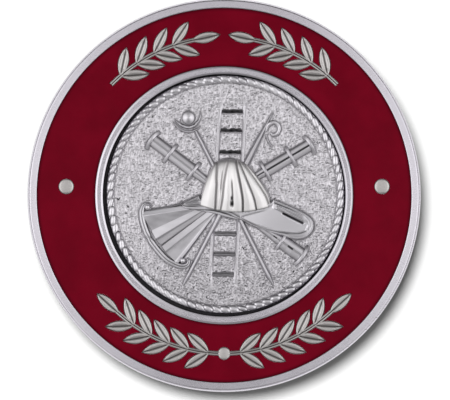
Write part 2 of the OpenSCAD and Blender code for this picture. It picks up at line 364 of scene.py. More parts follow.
@dataclass(frozen=True)
class MetalFinish:
    """A plated metal with fine grain and hairlines, darkened where the shade attribute is high: painted
    shade, with some tarnish.
    """

    name: str
    tint: Colour
    roughness: float
    grain: float
    grain_depth: float
    cloud: float = 0.05
    hairline: float = 0.04
    # near-black colour of the painted shade and tarnish
    shade_and_tarnish: Colour = (0.03, 0.028, 0.031)
    cloud_size: float = 2.6
    # hairlines along X: length, how many times finer they are across, and the turn in degrees of
    # the noise that they are read from
    hair_l: float = 0.9
    hair_fineness: float = 14
    noise_turn: float = 35
    # height under which the metal is painted dark, as shade in the recess round the seal and on the
    # badge's back
    low: float | None = None

    def material(self) -> bpy.types.Material:
        """The metal as a procedural material.

        Returns:
            The material.
        """
        t = MaterialTree(self.name)
        place = t.place()
        clouds = t.noise(place, self.cloud_size, 3) * 2 - 1
        specks = t.noise(place, self.grain, 3, 0.6)
        along = t.node("ShaderNodeMapping", None, {
            "Vector": place, "Rotation": (0, 0, math.radians(self.noise_turn)),
            "Scale": (1, self.hair_fineness, 1)})
        hair = t.noise(along, self.hair_l, 4, 0.65)
        # the shade attribute paints shade, with some tarnish, into the metal's colour
        shade = t.node("ShaderNodeAttribute", {"attribute_name": SHADE}, out="Fac")
        dark = (shade + (specks - 0.5) * 0.25 * shade).held()
        if self.low is not None:
            dark = t.maths("MAXIMUM", dark, 1 - t.part(place, "Z").between(self.low, self.low + 0.5))
        lit = t.mix((0.5 + clouds * self.cloud * 4).held(),
                    scaled(self.tint, 1 - self.cloud), scaled(self.tint, 1 + self.cloud))
        rough = self.roughness + clouds * 0.03 + (hair - 0.5) * self.hairline * 2 + dark * 0.12
        return t.finish(specks * 0.8 + hair * 0.2, self.grain_depth, {
            "Base Color": t.mix(dark, lit, self.shade_and_tarnish), "Metallic": 1.0, "Roughness": rough.held()})


@dataclass(frozen=True)
class EnamelFinish:
    """Fired enamel: deep even red with a faint ripple, and painted shade where it meets the metal."""

    name: str
    red: Colour
    edge: Colour
    inner_r: float
    outer_r: float
    edge_w: float = 0.3
    roughness: float = 0.07
    gloss: float = 0.16
    ripple_depth: float = 0.006
    cloud_size: float = 3.4
    mote_size: float = 0.16

    def material(self) -> bpy.types.Material:
        """The enamel as a procedural material.

        Returns:
            The material.
        """
        t = MaterialTree(self.name)
        place = t.place()
        x, y = t.part(place, "X"), t.part(place, "Y")
        radius = (x * x + y * y) ** 0.5
        # painted shade near the metal at the ring's inner and outer edges
        edge_shade = t.maths("MAXIMUM", 1 - radius.between(self.inner_r, self.inner_r + self.edge_w),
                         radius.between(self.outer_r - self.edge_w, self.outer_r))
        clouds = t.noise(place, self.cloud_size, 3, 0.55)
        motes = t.noise(place, self.mote_size, 2, 0.7).between(0.66, 0.8)
        body = t.mix(clouds.between(0.3, 0.7), scaled(self.red, 0.9), scaled(self.red, 1.12))
        specked = t.mix(motes * 0.25, body, self.edge)
        ripple = t.noise(place, 1.9, 2) * 0.8 + t.noise(place, 0.35, 2) * 0.2
        rough = self.roughness + motes * 0.1 + (clouds - 0.5) * 0.04
        return t.finish(ripple, self.ripple_depth, {
            "Base Color": t.mix(edge_shade * 0.75, specked, self.edge), "Roughness": rough.held(),
            "Specular IOR Level": self.gloss})


@dataclass(frozen=True)
class FloorFinish:
    """Plain pale board with a faint tooth."""

    name: str
    grey: float
    tooth_size: float = 0.9
    tooth_depth: float = 0.02

    def material(self) -> bpy.types.Material:
        """The floor as a procedural material.

        Returns:
            The material.
        """
        t = MaterialTree(self.name)
        tooth = t.noise(t.place(), self.tooth_size, 3, 0.6)
        pale = (self.grey,) * 3
        return t.finish(tooth, self.tooth_depth, {
            "Base Color": t.mix(tooth, scaled(pale, 0.985), pale), "Roughness": 0.9,
            "Specular IOR Level": 0.1}, strength=0.4)


METALS: tuple[MetalFinish, ...] = (
    # name, tint, roughness, size and depth of the grain
    MetalFinish("plated_rim", (0.675, 0.646, 0.703), 0.28, 0.12, 0.003, low=4.7),
    MetalFinish("plated_raised", (0.545, 0.52, 0.512), 0.34, 0.1, 0.003),
    MetalFinish("stippled_ground", (0.72, 0.695, 0.735), 0.32, 0.09, 0.012, cloud=0.12),
    MetalFinish("satin_relief", (0.64, 0.62, 0.656), 0.3, 0.1, 0.005),
    MetalFinish("polished_relief", (0.745, 0.725, 0.765), 0.3, 0.3, 0.002, cloud=0.02, hairline=0.03),
    MetalFinish("rope_metal", (0.7, 0.68, 0.718), 0.3, 0.1, 0.006),
    # the crown's copy of the plating has a lighter tint, which paints light onto it
    MetalFinish("crown_satin", (0.9, 0.878, 0.884), 0.44, 0.2, 0.002, cloud=0.02, hairline=0.03),
    MetalFinish("pin_metal", (0.6, 0.59, 0.61), 0.36, 0.09, 0.004))


# Shapes

def linked(name: str, data: bpy.types.ID) -> bpy.types.Object:
    """A new object in the scene that holds the data.

    Args:
        name: the object's name.
        data: its mesh, camera or light.

    Returns:
        The object.
    """
    obj = bpy.data.objects.new(name, data)
    bpy.context.scene.collection.objects.link(obj)
    return obj


@dataclass
class Shell:
    """Closed mesh in millimetres, its painted shade and tarnish, and the lines where it leaves the
    ground.
    """

    points: Points
    faces: list[tuple[int, ...]]
    shade: np.ndarray
    outline: list[Points] = field(default_factory=list)

    def placed(self, x: float = 0, y: float = 0, z: float = 0, turn: float = 0,
               mirrored: bool = False) -> "Shell":
        """A copy that is mirrored across the YZ plane, turned about Z, then moved.

        Args:
            x: move along X.
            y: move along Y.
            z: move along Z.
            turn: turn about Z in degrees.
            mirrored: whether it is mirrored first.

        Returns:
            The new shell, whose faces still point outwards.
        """
        c, s = math.cos(math.radians(turn)), math.sin(math.radians(turn))
        flip = -1 if mirrored else 1

        def moved(points: Points) -> Points:
            """Puts points in their new place.

            Args:
                points: the points, with or without a height.

            Returns:
                The moved points.
            """
            out = points.copy()
            out[:, 0] = c * flip * points[:, 0] - s * points[:, 1] + x
            out[:, 1] = s * flip * points[:, 0] + c * points[:, 1] + y
            if points.shape[1] == 3:
                out[:, 2] += z
            return out

        faces = [tuple(reversed(f)) for f in self.faces] if mirrored else list(self.faces)
        return Shell(moved(self.points), faces, self.shade.copy(), [moved(o) for o in self.outline])

    @staticmethod
    def joined(shells: Sequence["Shell"]) -> "Shell":
        """Several shells as one.

        Args:
            shells: the shells.

        Returns:
            One shell with all their points, faces, shades and outlines.
        """
        faces: list[tuple[int, ...]] = []
        start = 0
        for shell in shells:
            faces += [tuple(i + start for i in f) for f in shell.faces]
            start += len(shell.points)
        return Shell(np.concatenate([s.points for s in shells]), faces,
                     np.concatenate([s.shade for s in shells]), [o for s in shells for o in s.outline])

    def object(self, name: str, sharp: float = 35) -> bpy.types.Object:
        """Makes a smooth-shaded object in metres.

        Args:
            name: the object's name.
            sharp: angle in degrees above which an edge stays sharp.

        Returns:
            The object, linked to the scene.
        """
        mesh = bpy.data.meshes.new(name)
        mesh.from_pydata((self.points * MM).tolist(), [], self.faces)
        mesh.update()
        attribute = mesh.attributes.new(SHADE, "FLOAT", "POINT")
        attribute.data.foreach_set("value", np.clip(self.shade, 0, 1).astype(np.float32))
        mesh.polygons.foreach_set("use_smooth", [True] * len(mesh.polygons))
        mesh.set_sharp_from_angle(angle=math.radians(sharp))
        return linked(name, mesh)


class Section(Enum):
    """Cross-section of a raised strip, from its right edge to its left."""

    ROUND = "round"
    FLAT = "flat"
    WEDGE = "wedge"
    DOUBLE = "double"
    BARREL = "barrel"
    SLEEVE = "sleeve"
    LEAF = "leaf"
    RAIL = "rail"
    RIM = "rim"

    def samples(self) -> Profile:
        """Places across the strip, and the height share and the shade at each."""
        return SECTIONS[self]


def round_section(count: int = 13) -> Profile:
    """Half a circle."""
    turn = np.linspace(-90, 90, count)
    return np.sin(np.radians(turn)), np.cos(np.radians(turn)), np.zeros(count)


def table_section(rows: Sequence[tuple[float, float, float]]) -> Profile:
    """Cross-section from rows of place across, height share and shade."""
    return tuple(np.array(column, float) for column in zip(*rows))


def even_section(rows: Sequence[tuple[float, float, float]]) -> Profile:
    """Cross-section that is the same on both sides, from the rows of its right half."""
    return table_section([*rows, *((-across, height, shade) for across, height, shade in rows[-2::-1])])


def barrel_section(bold: float = 1.0, side: float = 0.1) -> Profile:
    """Half a circle with a narrow groove along its top.

    Args:
        bold: painted shade of the groove.
        side: painted shade of the left side.

    Returns:
        Places across, height shares and shades.
    """
    across, height, _ = round_section(17)
    shade = np.where(across > 0, side, 0.0)
    kept = np.abs(across) > 0.24
    groove = table_section([(-0.21, 0.975, 0), (-0.12, 0.9, 0.9 * bold), (0.0, 0.84, bold),
                            (0.12, 0.9, 0.9 * bold), (0.21, 0.975, side)])
    joined = [np.concatenate([a[kept], b]) for a, b in zip((across, height, shade), groove)]
    order = np.argsort(joined[0])
    return tuple(a[order] for a in joined)


SECTIONS: dict[Section, Profile] = {
    Section.ROUND: round_section(),
    Section.FLAT: even_section([
        # place across, height share, painted shade
        (-1, 0, 0), (-0.9, 0.55, 0), (-0.78, 0.9, 0), (-0.62, 1, 0), (0, 1.02, 0)]),
    Section.RAIL: table_section([
        (-1, 0, 0.1), (-0.84, 0.55, 0), (-0.66, 0.9, 0), (-0.56, 1, 0), (-0.42, 0.82, 0),
        (-0.2, 0.34, 0.05), (0.0, 0.2, 0.14), (0.4, 0.22, 0.08), (0.78, 0.34, 0), (1, 0, 0.16)]),
    Section.RIM: table_section([
        (-1, 0, 0.3), (-0.95, 0.6, 0), (-0.86, 0.86, 0), (-0.7, 0.95, 0), (-0.42, 1, 0),
        (-0.22, 0.95, 0.05), (-0.1, 0.87, 0.55), (0.02, 0.87, 0.55), (0.12, 0.95, 0), (0.38, 1, 0),
        (0.68, 0.95, 0), (0.86, 0.84, 0.1), (0.95, 0.6, 0.4), (1, 0, 0.7)]),
    # for the upper rungs: painted shadow over their upper side
    Section.WEDGE: table_section([
        (-1, 0, 0), (-0.96, 0.62, 0), (-0.84, 0.86, 0), (-0.62, 1, 0), (-0.54, 0.98, 0.4),
        (-0.4, 0.86, 0.88), (0.0, 0.5, 1), (0.4, 0.3, 0.9), (0.75, 0.12, 0.62), (1, 0, 0.3)]),
    # for the lower rungs: two painted dark lines along them
    Section.DOUBLE: table_section([
        (-1, 0, 0.4), (-0.92, 0.2, 0.5), (-0.7, 0.3, 0.6), (-0.5, 0.5, 0.5), (-0.4, 0.8, 0.06),
        (-0.1, 0.9, 0), (0.1, 0.8, 0.06), (0.24, 0.5, 0.5), (0.6, 0.36, 0.58), (0.78, 0.4, 0.4),
        (0.92, 0.3, 0.1), (1, 0, 0.1)]),
    Section.BARREL: barrel_section(),
    Section.SLEEVE: barrel_section(0.5, 0.2),
    Section.LEAF: even_section([
        (-1, 0.9, 0.1), (-0.86, 0.975, 0), (-0.6, 1, 0), (-0.3, 0.985, 0), (-0.12, 0.93, 0.15),
        (0, 0.87, 0.8)]),
}


def smooth(points: Sequence[Pair], steps: int, closed: bool = False) -> Points:
    """Smooth curve through the points.

    Args:
        points: the points.
        steps: number of stretches from each point to the next.
        closed: whether the last point runs on into the first.

    Returns:
        Points along the curve.
    """
    p = np.array(points, float)
    if closed:
        p = np.concatenate([p[-1:], p, p[:2]])
    else:
        p = np.concatenate([2 * p[:1] - p[1:2], p, 2 * p[-1:] - p[-2:-1]])
    t = np.linspace(0, 1, steps, endpoint=False)[:, None]
    spans = [0.5 * (2 * b + (c - a) * t + (2 * a - 5 * b + 4 * c - d) * t ** 2
                    + (3 * b - a - 3 * c + d) * t ** 3)
             for a, b, c, d in zip(p, p[1:], p[2:], p[3:])]
    if not closed:
        spans.append(p[-2:-1])
    return np.concatenate(spans)


def polar(radius: Any, turn: np.ndarray) -> Points:
    """Points at a distance from the origin and at an angle in radians."""
    return np.stack([radius * np.cos(turn), radius * np.sin(turn)], 1)


def arc(radius: float, start: float, end: float, count: int) -> Points:
    """Points on an arc round the origin from one angle to another, in degrees."""
    return polar(radius, np.radians(np.linspace(start, end, count)))


def straight(ends: Sequence[Pair], share: np.ndarray) -> Points:
    """Points on a straight line, at shares of its length."""
    start, end = np.array(ends, float)
    return start + (end - start) * share[:, None]


def left_of(path: Points) -> Points:
    """Unit vectors to the left of a path at each of its points.

    Args:
        path: the path's points.

    Returns:
        A vector for each point.
    """
    along = np.concatenate([path[1:], path[-1:]]) - np.concatenate([path[:1], path[:-1]])
    along /= np.linalg.norm(along, axis=1)[:, None]
    return np.stack([-along[:, 1], along[:, 0]], 1)


def bell(gap: np.ndarray, half: float) -> np.ndarray:
    """Smooth bump that is 1 where the gap is 0 and has faded at twice the half width."""
    return np.exp(-(gap / half) ** 2)


def foot_shade(height: np.ndarray, reach: float = 0.075, most: float = 0.55) -> np.ndarray:
    """Painted shade, with some tarnish, where a shape leaves the ground."""
    return most * bell(np.maximum(height, 0), reach)


def strip(path: Points, half: Any, height: Any, kind: Section = Section.ROUND, sink: float = 0.2,
          foot: float = 0.55, shade: Any = 0.0) -> Shell:
    """Raised strip that follows a path on the ground.

    Args:
        path: centre line.
        half: half width, one number or one for each point of the path.
        height: height of the middle, one number or one for each point.
        kind: cross-section.
        sink: depth of the underside below the ground.
        foot: painted shade along the foot.
        shade: painted shade over the whole strip, one number or a column of one for each point.

    Returns:
        The strip as a closed shell.
    """
    across, share, own = kind.samples()
    n, m = len(path), len(across)
    left = left_of(path)
    half = np.broadcast_to(np.asarray(half, float), n)
    tall = np.broadcast_to(np.asarray(height, float), n)
    top = np.zeros((n, m, 3))
    top[:, :, :2] = path[:, None] + left[:, None] * (half[:, None] * across)[:, :, None]
    top[:, :, 2] = tall[:, None] * share
    under = top[:, [-1, 0]].copy()
    under[:, :, 2] = -sink
    rings = np.concatenate([top, under], 1)
    k = m + 2
    faces = [(a + j, a + k + j, a + k + (j + 1) % k, a + (j + 1) % k)
             for a in range(0, (n - 1) * k, k) for j in range(k)]
    faces += [tuple(range(k)), tuple(reversed(range((n - 1) * k, n * k)))]
    # painted shade: the section's own, the strip's, and along the foot; dark underneath
    shade_and_tarnish = np.ones((n, k))
    shade_and_tarnish[:, :m] = np.maximum(own[None] + shade, foot_shade(top[:, :, 2], most=foot))
    one, other = path + left * half[:, None], path - left * half[:, None]
    outline = np.concatenate([one, other[::-1], one[:1]])
    return Shell(rings.reshape(-1, 3), faces, shade_and_tarnish.ravel(), [outline])


def walled(top: Points, quads: np.ndarray, ring: np.ndarray, shade: np.ndarray, sink: float,
           outline: Points) -> Shell:
    """Closed solid from a top, upright walls round it and a flat underside.

    Args:
        top: points of the top.
        quads: its faces, four point numbers in a row.
        ring: numbers of the points round its edge.
        shade: painted shade and tarnish at each point.
        sink: depth of the underside below the ground.
        outline: line where the solid leaves the ground.

    Returns:
        The solid as a shell.
    """
    under = top[ring]
    under[:, 2] = -sink
    low = np.arange(len(ring)) + len(top)
    walls = np.stack([np.roll(ring, -1), ring, low, np.roll(low, -1)], 1)
    faces = [tuple(f) for f in np.concatenate([quads, walls]).tolist()]
    faces.append(tuple(low[::-1].tolist()))
    return Shell(np.concatenate([top, under]), faces, np.concatenate([shade, np.ones(len(ring))]),
                 [outline])


def slab(grid: Points, shade: np.ndarray) -> Shell:
    """Closed solid under a grid of top points whose rows run left and columns run on.

    Args:
        grid: top points, rows by columns by three.
        shade: painted shade and tarnish at each of them.

    Returns:
        The solid as a shell.
    """
    index = np.arange(shade.size).reshape(shade.shape)
    quads = np.stack([index[:-1, :-1], index[:-1, 1:], index[1:, 1:], index[1:, :-1]], 2)
    ring = np.concatenate([index[0, :], index[1:, -1], index[-1, -2::-1], index[-2:0:-1, 0]])
    top = grid.reshape(-1, 3)
    outline = top[np.append(ring, ring[0]), :2]
    return walled(top, quads.reshape(-1, 4), ring, shade.ravel(), 0.3, outline)


def lathe(profile: Sequence[Pair], count: int) -> Shell:
    """Turned solid from a profile of radius and height that starts and ends on the axis.

    Args:
        profile: rows of radius and height, going round the section anticlockwise.
        count: number of segments.

    Returns:
        The solid as a shell.
    """
    p = np.array(profile, float)
    turn = np.radians(np.arange(count) * 360 / count)
    inner = p[1:-1]
    rings = np.stack([inner[:, :1] * np.cos(turn), inner[:, :1] * np.sin(turn),
                      np.repeat(inner[:, 1:], count, 1)], 2)
    ends = np.array([[0, 0, p[0, 1]], [0, 0, p[-1, 1]]])
    first, last = len(inner) * count, len(inner) * count + 1
    faces: list[tuple[int, ...]] = []
    for i in range(len(inner) - 1):
        a, b = i * count, (i + 1) * count
        faces += [(a + j, a + (j + 1) % count, b + (j + 1) % count, b + j) for j in range(count)]
    faces += [(first, (j + 1) % count, j) for j in range(count)]
    base = (len(inner) - 1) * count
    faces += [(last, base + j, base + (j + 1) % count) for j in range(count)]
    points = np.concatenate([rings.reshape(-1, 3), ends])
    return Shell(points, faces, np.zeros(len(points)))


def button(radius: float, foot: float, rise: float, count: int) -> Shell:
    """Low dome on an upright wall.

    Args:
        radius: radius of the wall.
        foot: height where the dome starts.
        rise: height of the dome.
        count: facets round it.

    Returns:
        The button as a closed shell.
    """
    wall = [(0, -0.2), (radius, -0.2), (radius, foot - 0.16), (radius * 0.985, foot - 0.06)]
    dome = [(radius * s, foot + rise * (1 - s * s)) for s in np.linspace(0.93, 0, 10)]
    return lathe([*wall, *dome], count)


def rounded(points: Sequence[tuple[float, float, float]], steps: int = 5) -> list[Pair]:
    """Outline whose corners are rounded.

    Args:
        points: rows of radius, height and corner radius.
        steps: number of points round a corner.

    Returns:
        The outline's points.
    """
    out: list[Pair] = []
    for i, (x, y, r) in enumerate(points):
        if r <= 0 or i in (0, len(points) - 1):
            out.append((x, y))
            continue
        here = np.array([x, y])
        back = np.array(points[i - 1][:2]) - here
        on = np.array(points[i + 1][:2]) - here
        back_l, on_l = np.linalg.norm(back), np.linalg.norm(on)
        half = math.acos(np.clip(np.dot(back, on) / back_l / on_l, -1, 1)) / 2
        cut = min(r / math.tan(half), back_l * 0.49, on_l * 0.49)
        a, b = here + back / back_l * cut, here + on / on_l * cut
        for t in np.linspace(0, 1, steps):
            q = (1 - t) ** 2 * a + 2 * t * (1 - t) * here + t * t * b
            out.append((float(q[0]), float(q[1])))
    return out


def line_distance(line: Points, x: np.ndarray, y: np.ndarray) -> np.ndarray:
    """Distance of each place from a line of points.

    Args:
        line: the line's points.
        x: places along X.
        y: places along Y.

    Returns:
        The distances.
    """
    best = np.full(x.shape, np.inf)
    for (ax, ay), (bx, by) in zip(line[:-1], line[1:]):
        dx, dy = bx - ax, by - ay
        t = np.clip(((x - ax) * dx + (y - ay) * dy) / max(dx * dx + dy * dy, 1e-12), 0, 1)
        best = np.minimum(best, (x - ax - t * dx) ** 2 + (y - ay - t * dy) ** 2)
    return np.sqrt(best)


def inside_distance(loop: Points, x: np.ndarray, y: np.ndarray) -> np.ndarray:
    """Distance of each place from a closed outline, above zero inside it.

    Args:
        loop: the outline's points.
        x: places along X.
        y: places along Y.

    Returns:
        The distances.
    """
    ring = np.concatenate([loop, loop[:1]])
    inside = np.zeros(x.shape, bool)
    for (ax, ay), (bx, by) in zip(ring[:-1], ring[1:]):
        if ay == by:
            continue
        crosses = ((ay > y) != (by > y)) & (x < (bx - ax) * (y - ay) / (by - ay) + ax)
        inside ^= crosses
    return np.where(inside, 1, -1) * line_distance(ring, x, y)


def eased(value: np.ndarray, low: float, high: float) -> np.ndarray:
    """Smooth rise from 0 at low to 1 at high."""
    t = np.clip((value - low) / (high - low), 0, 1)
    return t * t * (3 - 2 * t)


def patch(low: Points, high: Points, pitch: float, surface: Surface, outline: Points) -> Shell:
    """Closed solid under a surface that is given by a function of place.

    Args:
        low: lowest corner of the region.
        high: highest corner of the region.
        pitch: distance between points.
        surface: gives height and shade for arrays of x and y.
        outline: line where the surface leaves the ground.

    Returns:
        The solid as a shell, which ends where the surface is well below the ground.
    """
    # height below which a point is held, height where the surface ends, depth of the underside
    lowest, end, sink = -0.3, -0.05, 0.35
    x, y = np.meshgrid(*(np.arange(a, b + pitch, pitch) for a, b in zip(low, high)), indexing="ij")
    z, shade = surface(x, y)
    z = np.maximum(z, lowest)
    used = (z > end).astype(int)
    cells = (used[:-1, :-1] + used[1:, :-1] + used[:-1, 1:] + used[1:, 1:]) > 0
    # cells that meet only at a corner are joined, so that the edge is one ring
    for _ in range(4):
        down = cells[:-1, :-1] & cells[1:, 1:] & ~cells[1:, :-1] & ~cells[:-1, 1:]
        up = cells[1:, :-1] & cells[:-1, 1:] & ~cells[:-1, :-1] & ~cells[1:, 1:]
        cells[1:, :-1] |= down
        cells[:-1, :-1] |= up
    index = np.arange(x.size).reshape(x.shape)
    i, j = np.nonzero(cells)
    quads = np.stack([index[i, j], index[i + 1, j], index[i + 1, j + 1], index[i, j + 1]], 1)
    edges = np.concatenate([quads[:, [k, (k + 1) % 4]] for k in range(4)])
    border = edges[~np.isin(edges[:, 0] * x.size + edges[:, 1], edges[:, 1] * x.size + edges[:, 0])]
    follows = dict(border.tolist())
    ring = [int(border[0, 0])]
    while follows[ring[-1]] != ring[0]:
        ring.append(follows[ring[-1]])
    kept, where = np.unique(quads, return_inverse=True)
    top = np.stack([x.ravel(), y.ravel(), z.ravel()], 1)[kept]
    return walled(top, where.reshape(quads.shape), np.searchsorted(kept, ring), shade.ravel()[kept],
                  sink, outline)


def finished(obj: bpy.types.Object, material: bpy.types.Material, slot: str, *nodes: str) -> None:
    """Dresses a piece, joins it to the frame and reports it.

    Args:
        obj: the piece.
        material: its finish.
        slot: the record's material slot; not used.
        nodes: the CAD nodes that it stands for.
    """
    obj.data.materials.clear()
    obj.data.materials.append(material)
    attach(obj, BODY)
    if nodes:
        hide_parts(*nodes)
    log.info("%s: %d faces", obj.name, len(obj.data.polygons))


# The struck base and its ornaments

@dataclass
class StruckBase:
    """Base with its rims, and the leaf sprays and dots that stand up through the enamel."""

    radius: float
    back: float
    top: float
    rim_w: float = 0.745
    # rounded shoulder of the outer rim: width, height, and power of its curve
    shoulder_w: float = 0.27
    shoulder_fall: float = 0.42
    shoulder_fullness: float = 2.2
    # drop of the rim's face at the shoulder
    crest_fall: float = 0.035
    inner_rim_r: float = 10.4
    recess_r: float = 9.79
    # hollow of the back, its radius, the width of its slope, and the bevel round the back
    hollow: float = 0.12
    hollow_r: float = 13.2
    hollow_slope: float = 0.4
    bevel: float = 0.16
    # slopes at the inner rim's edges
    slope_w: float = 0.15
    slope_fall: float = 0.045
    # painted shade on the inner rim's slopes, and the direction where it is strongest
    flank_shade: float = 0.6
    flank_shade_at: float = 45
    floor_t: float = 0.7
    channel_depth: float = 0.8
    # radius of the circle that the sprays and dots stand on
    ornament_r: float = 12.76
    leaf_l: float = 2.35
    leaf_w: float = 0.86
    leaf_splay: float = 37
    leaf_pitch: float = 1.62
    stem_w: float = 0.34
    # length of stem before the first pair
    stem_lead: float = 1.0
    dot_r: float = 0.6
    # angle of the dots above the badge's middle line
    dot_angle: float = 3.2
    tie_r: float = 0.5
    # first pair's angle, pairs of leaves
    sprays: tuple[tuple[float, int], ...] = ((-84.5, 5), (49, 4))

    @classmethod
    def from_frame(cls) -> "StruckBase":
        """The base at the size of its CAD node."""
        low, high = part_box("badge_body")
        return cls(radius=high.x / MM, back=low.z / MM, top=high.z / MM)

    def base(self) -> Shell:
        """Turned base: rolled outer rim, channel, inner rim, recess and a dished back.

        Returns:
            The base as a closed shell.
        """
        channel = self.top - self.channel_depth
        recess = self.back + self.floor_t
        outer = self.radius - self.rim_w
        wide, fall = self.shoulder_w, self.shoulder_fall
        power = 2 / self.shoulder_fullness
        crest = self.top - self.crest_fall
        shoulder = [(self.radius - wide * (1 - math.cos(a) ** power),
                     crest - fall * (1 - math.sin(a) ** power))
                    for a in np.radians([0.5, 3, 7, 12, 18, 25, 33, 42, 51, 60, 68, 75, 81, 86, 89])]
        back = rounded([
            (0, self.back + self.hollow, 0), (self.hollow_r, self.back + self.hollow, 0.3),
            (self.hollow_r + self.hollow_slope, self.back, 0.2),
            (self.radius - self.bevel, self.back, 0.1), (self.radius, self.back + self.bevel, 0.1),
            (self.radius, shoulder[0][1], 0)])
        eaves = self.top - self.slope_fall
        face = rounded([
            (self.radius - wide, crest, 0.05), (outer + 0.06, self.top, 0.05),
            (outer, self.top - 0.02, 0.02), (outer, channel, 0.1),
            (self.inner_rim_r, channel, 0.1), (self.inner_rim_r, eaves, 0.03),
            (self.inner_rim_r - self.slope_w, self.top, 0.1),
            (self.recess_r + self.slope_w, self.top, 0.1), (self.recess_r, eaves, 0.03),
            (self.recess_r, recess, 0.08), (0, recess, 0)], 7)
        shell = lathe(back[:-1] + shoulder[:-1] + face, 288)
        radii = np.hypot(shell.points[:, 0], shell.points[:, 1])
        drop = self.top - shell.points[:, 2]
        # painted shade on the outer shoulder's edge, and on the inner rim's slopes on one side
        edge = eased(drop, 0.18, fall) * (radii > outer + 0.1) * (drop < fall + 0.6)
        half = (self.inner_rim_r - self.recess_r) / 2
        across = np.abs(radii - self.recess_r - half) / half
        flank = eased(across, 0.45, 0.9) * (across < 1.01) * (drop < 0.1)
        turn = np.arctan2(shell.points[:, 1], shell.points[:, 0])
        lobe = np.clip(np.cos(turn - math.radians(self.flank_shade_at)), 0, 1) ** 0.7
        shell.shade[:] = 0.7 * edge + self.flank_shade * flank * lobe
        return shell

    def leaf(self) -> Shell:
        """One leaf along +X from the origin, bounded by two arcs, with a groove along its midrib.

        Returns:
            The leaf as a closed shell.
        """
        middle, bulge = self.leaf_l / 2, self.leaf_w / 2
        arc_r = (middle ** 2 + bulge ** 2) / self.leaf_w
        x = middle - middle * np.cos(np.linspace(0, math.pi, 25))
        half = np.sqrt(np.maximum(arc_r ** 2 - (x - middle) ** 2, 0)) - (arc_r - bulge)
        path = np.stack([x, np.zeros_like(x)], 1)
        return self.raised(path, np.maximum(half, 0.006)).placed(z=self.top - self.channel_depth)

    def raised(self, path: Points, half: Any) -> Shell:
        """A strip from the channel's floor to the rims' height."""
        return strip(path, half, self.channel_depth, Section.LEAF, sink=-0.02, foot=0)

    def step(self) -> float:
        """Angle from one pair of leaves to the next, in degrees."""
        return math.degrees(self.leaf_pitch / self.ornament_r)

    def leaves(self, start: float, pairs: int, mirrored: bool, material: bpy.types.Material,
               leaf: bpy.types.Object) -> bpy.types.Object:
        """One spray's leaves, set along its stem by geometry nodes.

        Args:
            start: angle of the first pair.
            pairs: number of pairs, before the leaf at the tip.
            mirrored: whether the spray is on the left.
            material: finish of the leaves.
            leaf: object of one leaf.

        Returns:
            The leaves as one object.
        """
        side = "left" if mirrored else "right"
        place = "lower" if start < 0 else "upper"
        t = GeometryTree(f"leaves_{place}_{side}")
        count = t.size("Leaves", 2 * pairs + 1, "NodeSocketInt")
        first = t.size("First angle", math.radians(180 - start if mirrored else start))
        step = t.size("Angle step", math.radians(-self.step() if mirrored else self.step()))
        splay = t.size("Splay", math.radians(self.leaf_splay))
        radius = t.size("Stem radius", self.ornament_r * MM)
        facing = t.size("Stem direction", math.radians(-90 if mirrored else 90))
        shape = t.size("Leaf", leaf, "NodeSocketObject")
        index = t.node("GeometryNodeInputIndex")
        pair = t.maths("FLOOR", index / 2)
        # the last leaf of an odd number lies along the stem
        tip = t.maths("COMPARE", index, count - 1, 0.1)
        which = (t.maths("MODULO", index, 2) * 2 - 1) * (1 - tip)
        angle = first + pair * step
        turn = t.node("ShaderNodeCombineXYZ", None, {"Z": angle + facing + which * splay})
        leaves = t.copies(shape, count, radius * t.maths("COSINE", angle),
                          radius * t.maths("SINE", angle), Rotation=turn)
        t.finish(leaves, material)
        return t.run()

    def stems(self) -> Shell:
        """Stems of the four sprays.

        Returns:
            The stems as one shell.
        """
        lead = math.degrees(self.stem_lead / self.ornament_r)
        parts = []
        for start, pairs in self.sprays:
            path = arc(self.ornament_r, start - lead, start + pairs * self.step() + 0.8, 40)
            one = self.raised(path, self.stem_w / 2)
            parts += [one, one.placed(mirrored=True)]
        return Shell.joined(parts).placed(z=self.top - self.channel_depth - 0.004)

    def dome(self, radius: float) -> Shell:
        """Round boss with a slightly crowned top.

        Args:
            radius: radius of the boss.

        Returns:
            The boss, centred on the badge.
        """
        channel = self.top - self.channel_depth
        rows = [(0, channel + 0.02, 0), (radius, channel + 0.02, 0), (radius, self.top - 0.05, 0.05),
                (radius * 0.8, self.top - 0.012, 0.3), (radius * 0.3, self.top, 0.3), (0, self.top, 0)]
        return lathe(rounded(rows), 64)

    def bosses(self) -> Shell:
        """The dots at the left and right and the tie at the bottom.

        Returns:
            The three bosses as one shell.
        """
        c, s = math.cos(math.radians(self.dot_angle)), math.sin(math.radians(self.dot_angle))
        dot = self.dome(self.dot_r)
        return Shell.joined([
            dot.placed(self.ornament_r * c, self.ornament_r * s),
            dot.placed(-self.ornament_r * c, self.ornament_r * s),
            self.dome(self.tie_r).placed(0, -self.ornament_r, 0.004)])

    def build(self, rim: bpy.types.Material, raised: bpy.types.Material) -> None:
        """Builds and dresses the base and its ornaments.

        Args:
            rim: finish of the base.
            raised: finish of the ornaments.
        """
        slot = "plated_metal"
        finished(self.base().object("struck_base", 50), rim, slot, "badge_body")
        leaf = self.leaf().object("one_leaf", 28)
        for start, pairs in self.sprays:
            for mirrored in (False, True):
                finished(self.leaves(start, pairs, mirrored, raised, leaf), raised, slot, "badge_body")
        bpy.data.objects.remove(leaf)
        finished(self.stems().object("spray_stems", 28), raised, slot, "badge_body")
        finished(self.bosses().object("bosses", 40), raised, slot, "badge_body")


# The seal: disc, ground, rope, and the emblem's tools

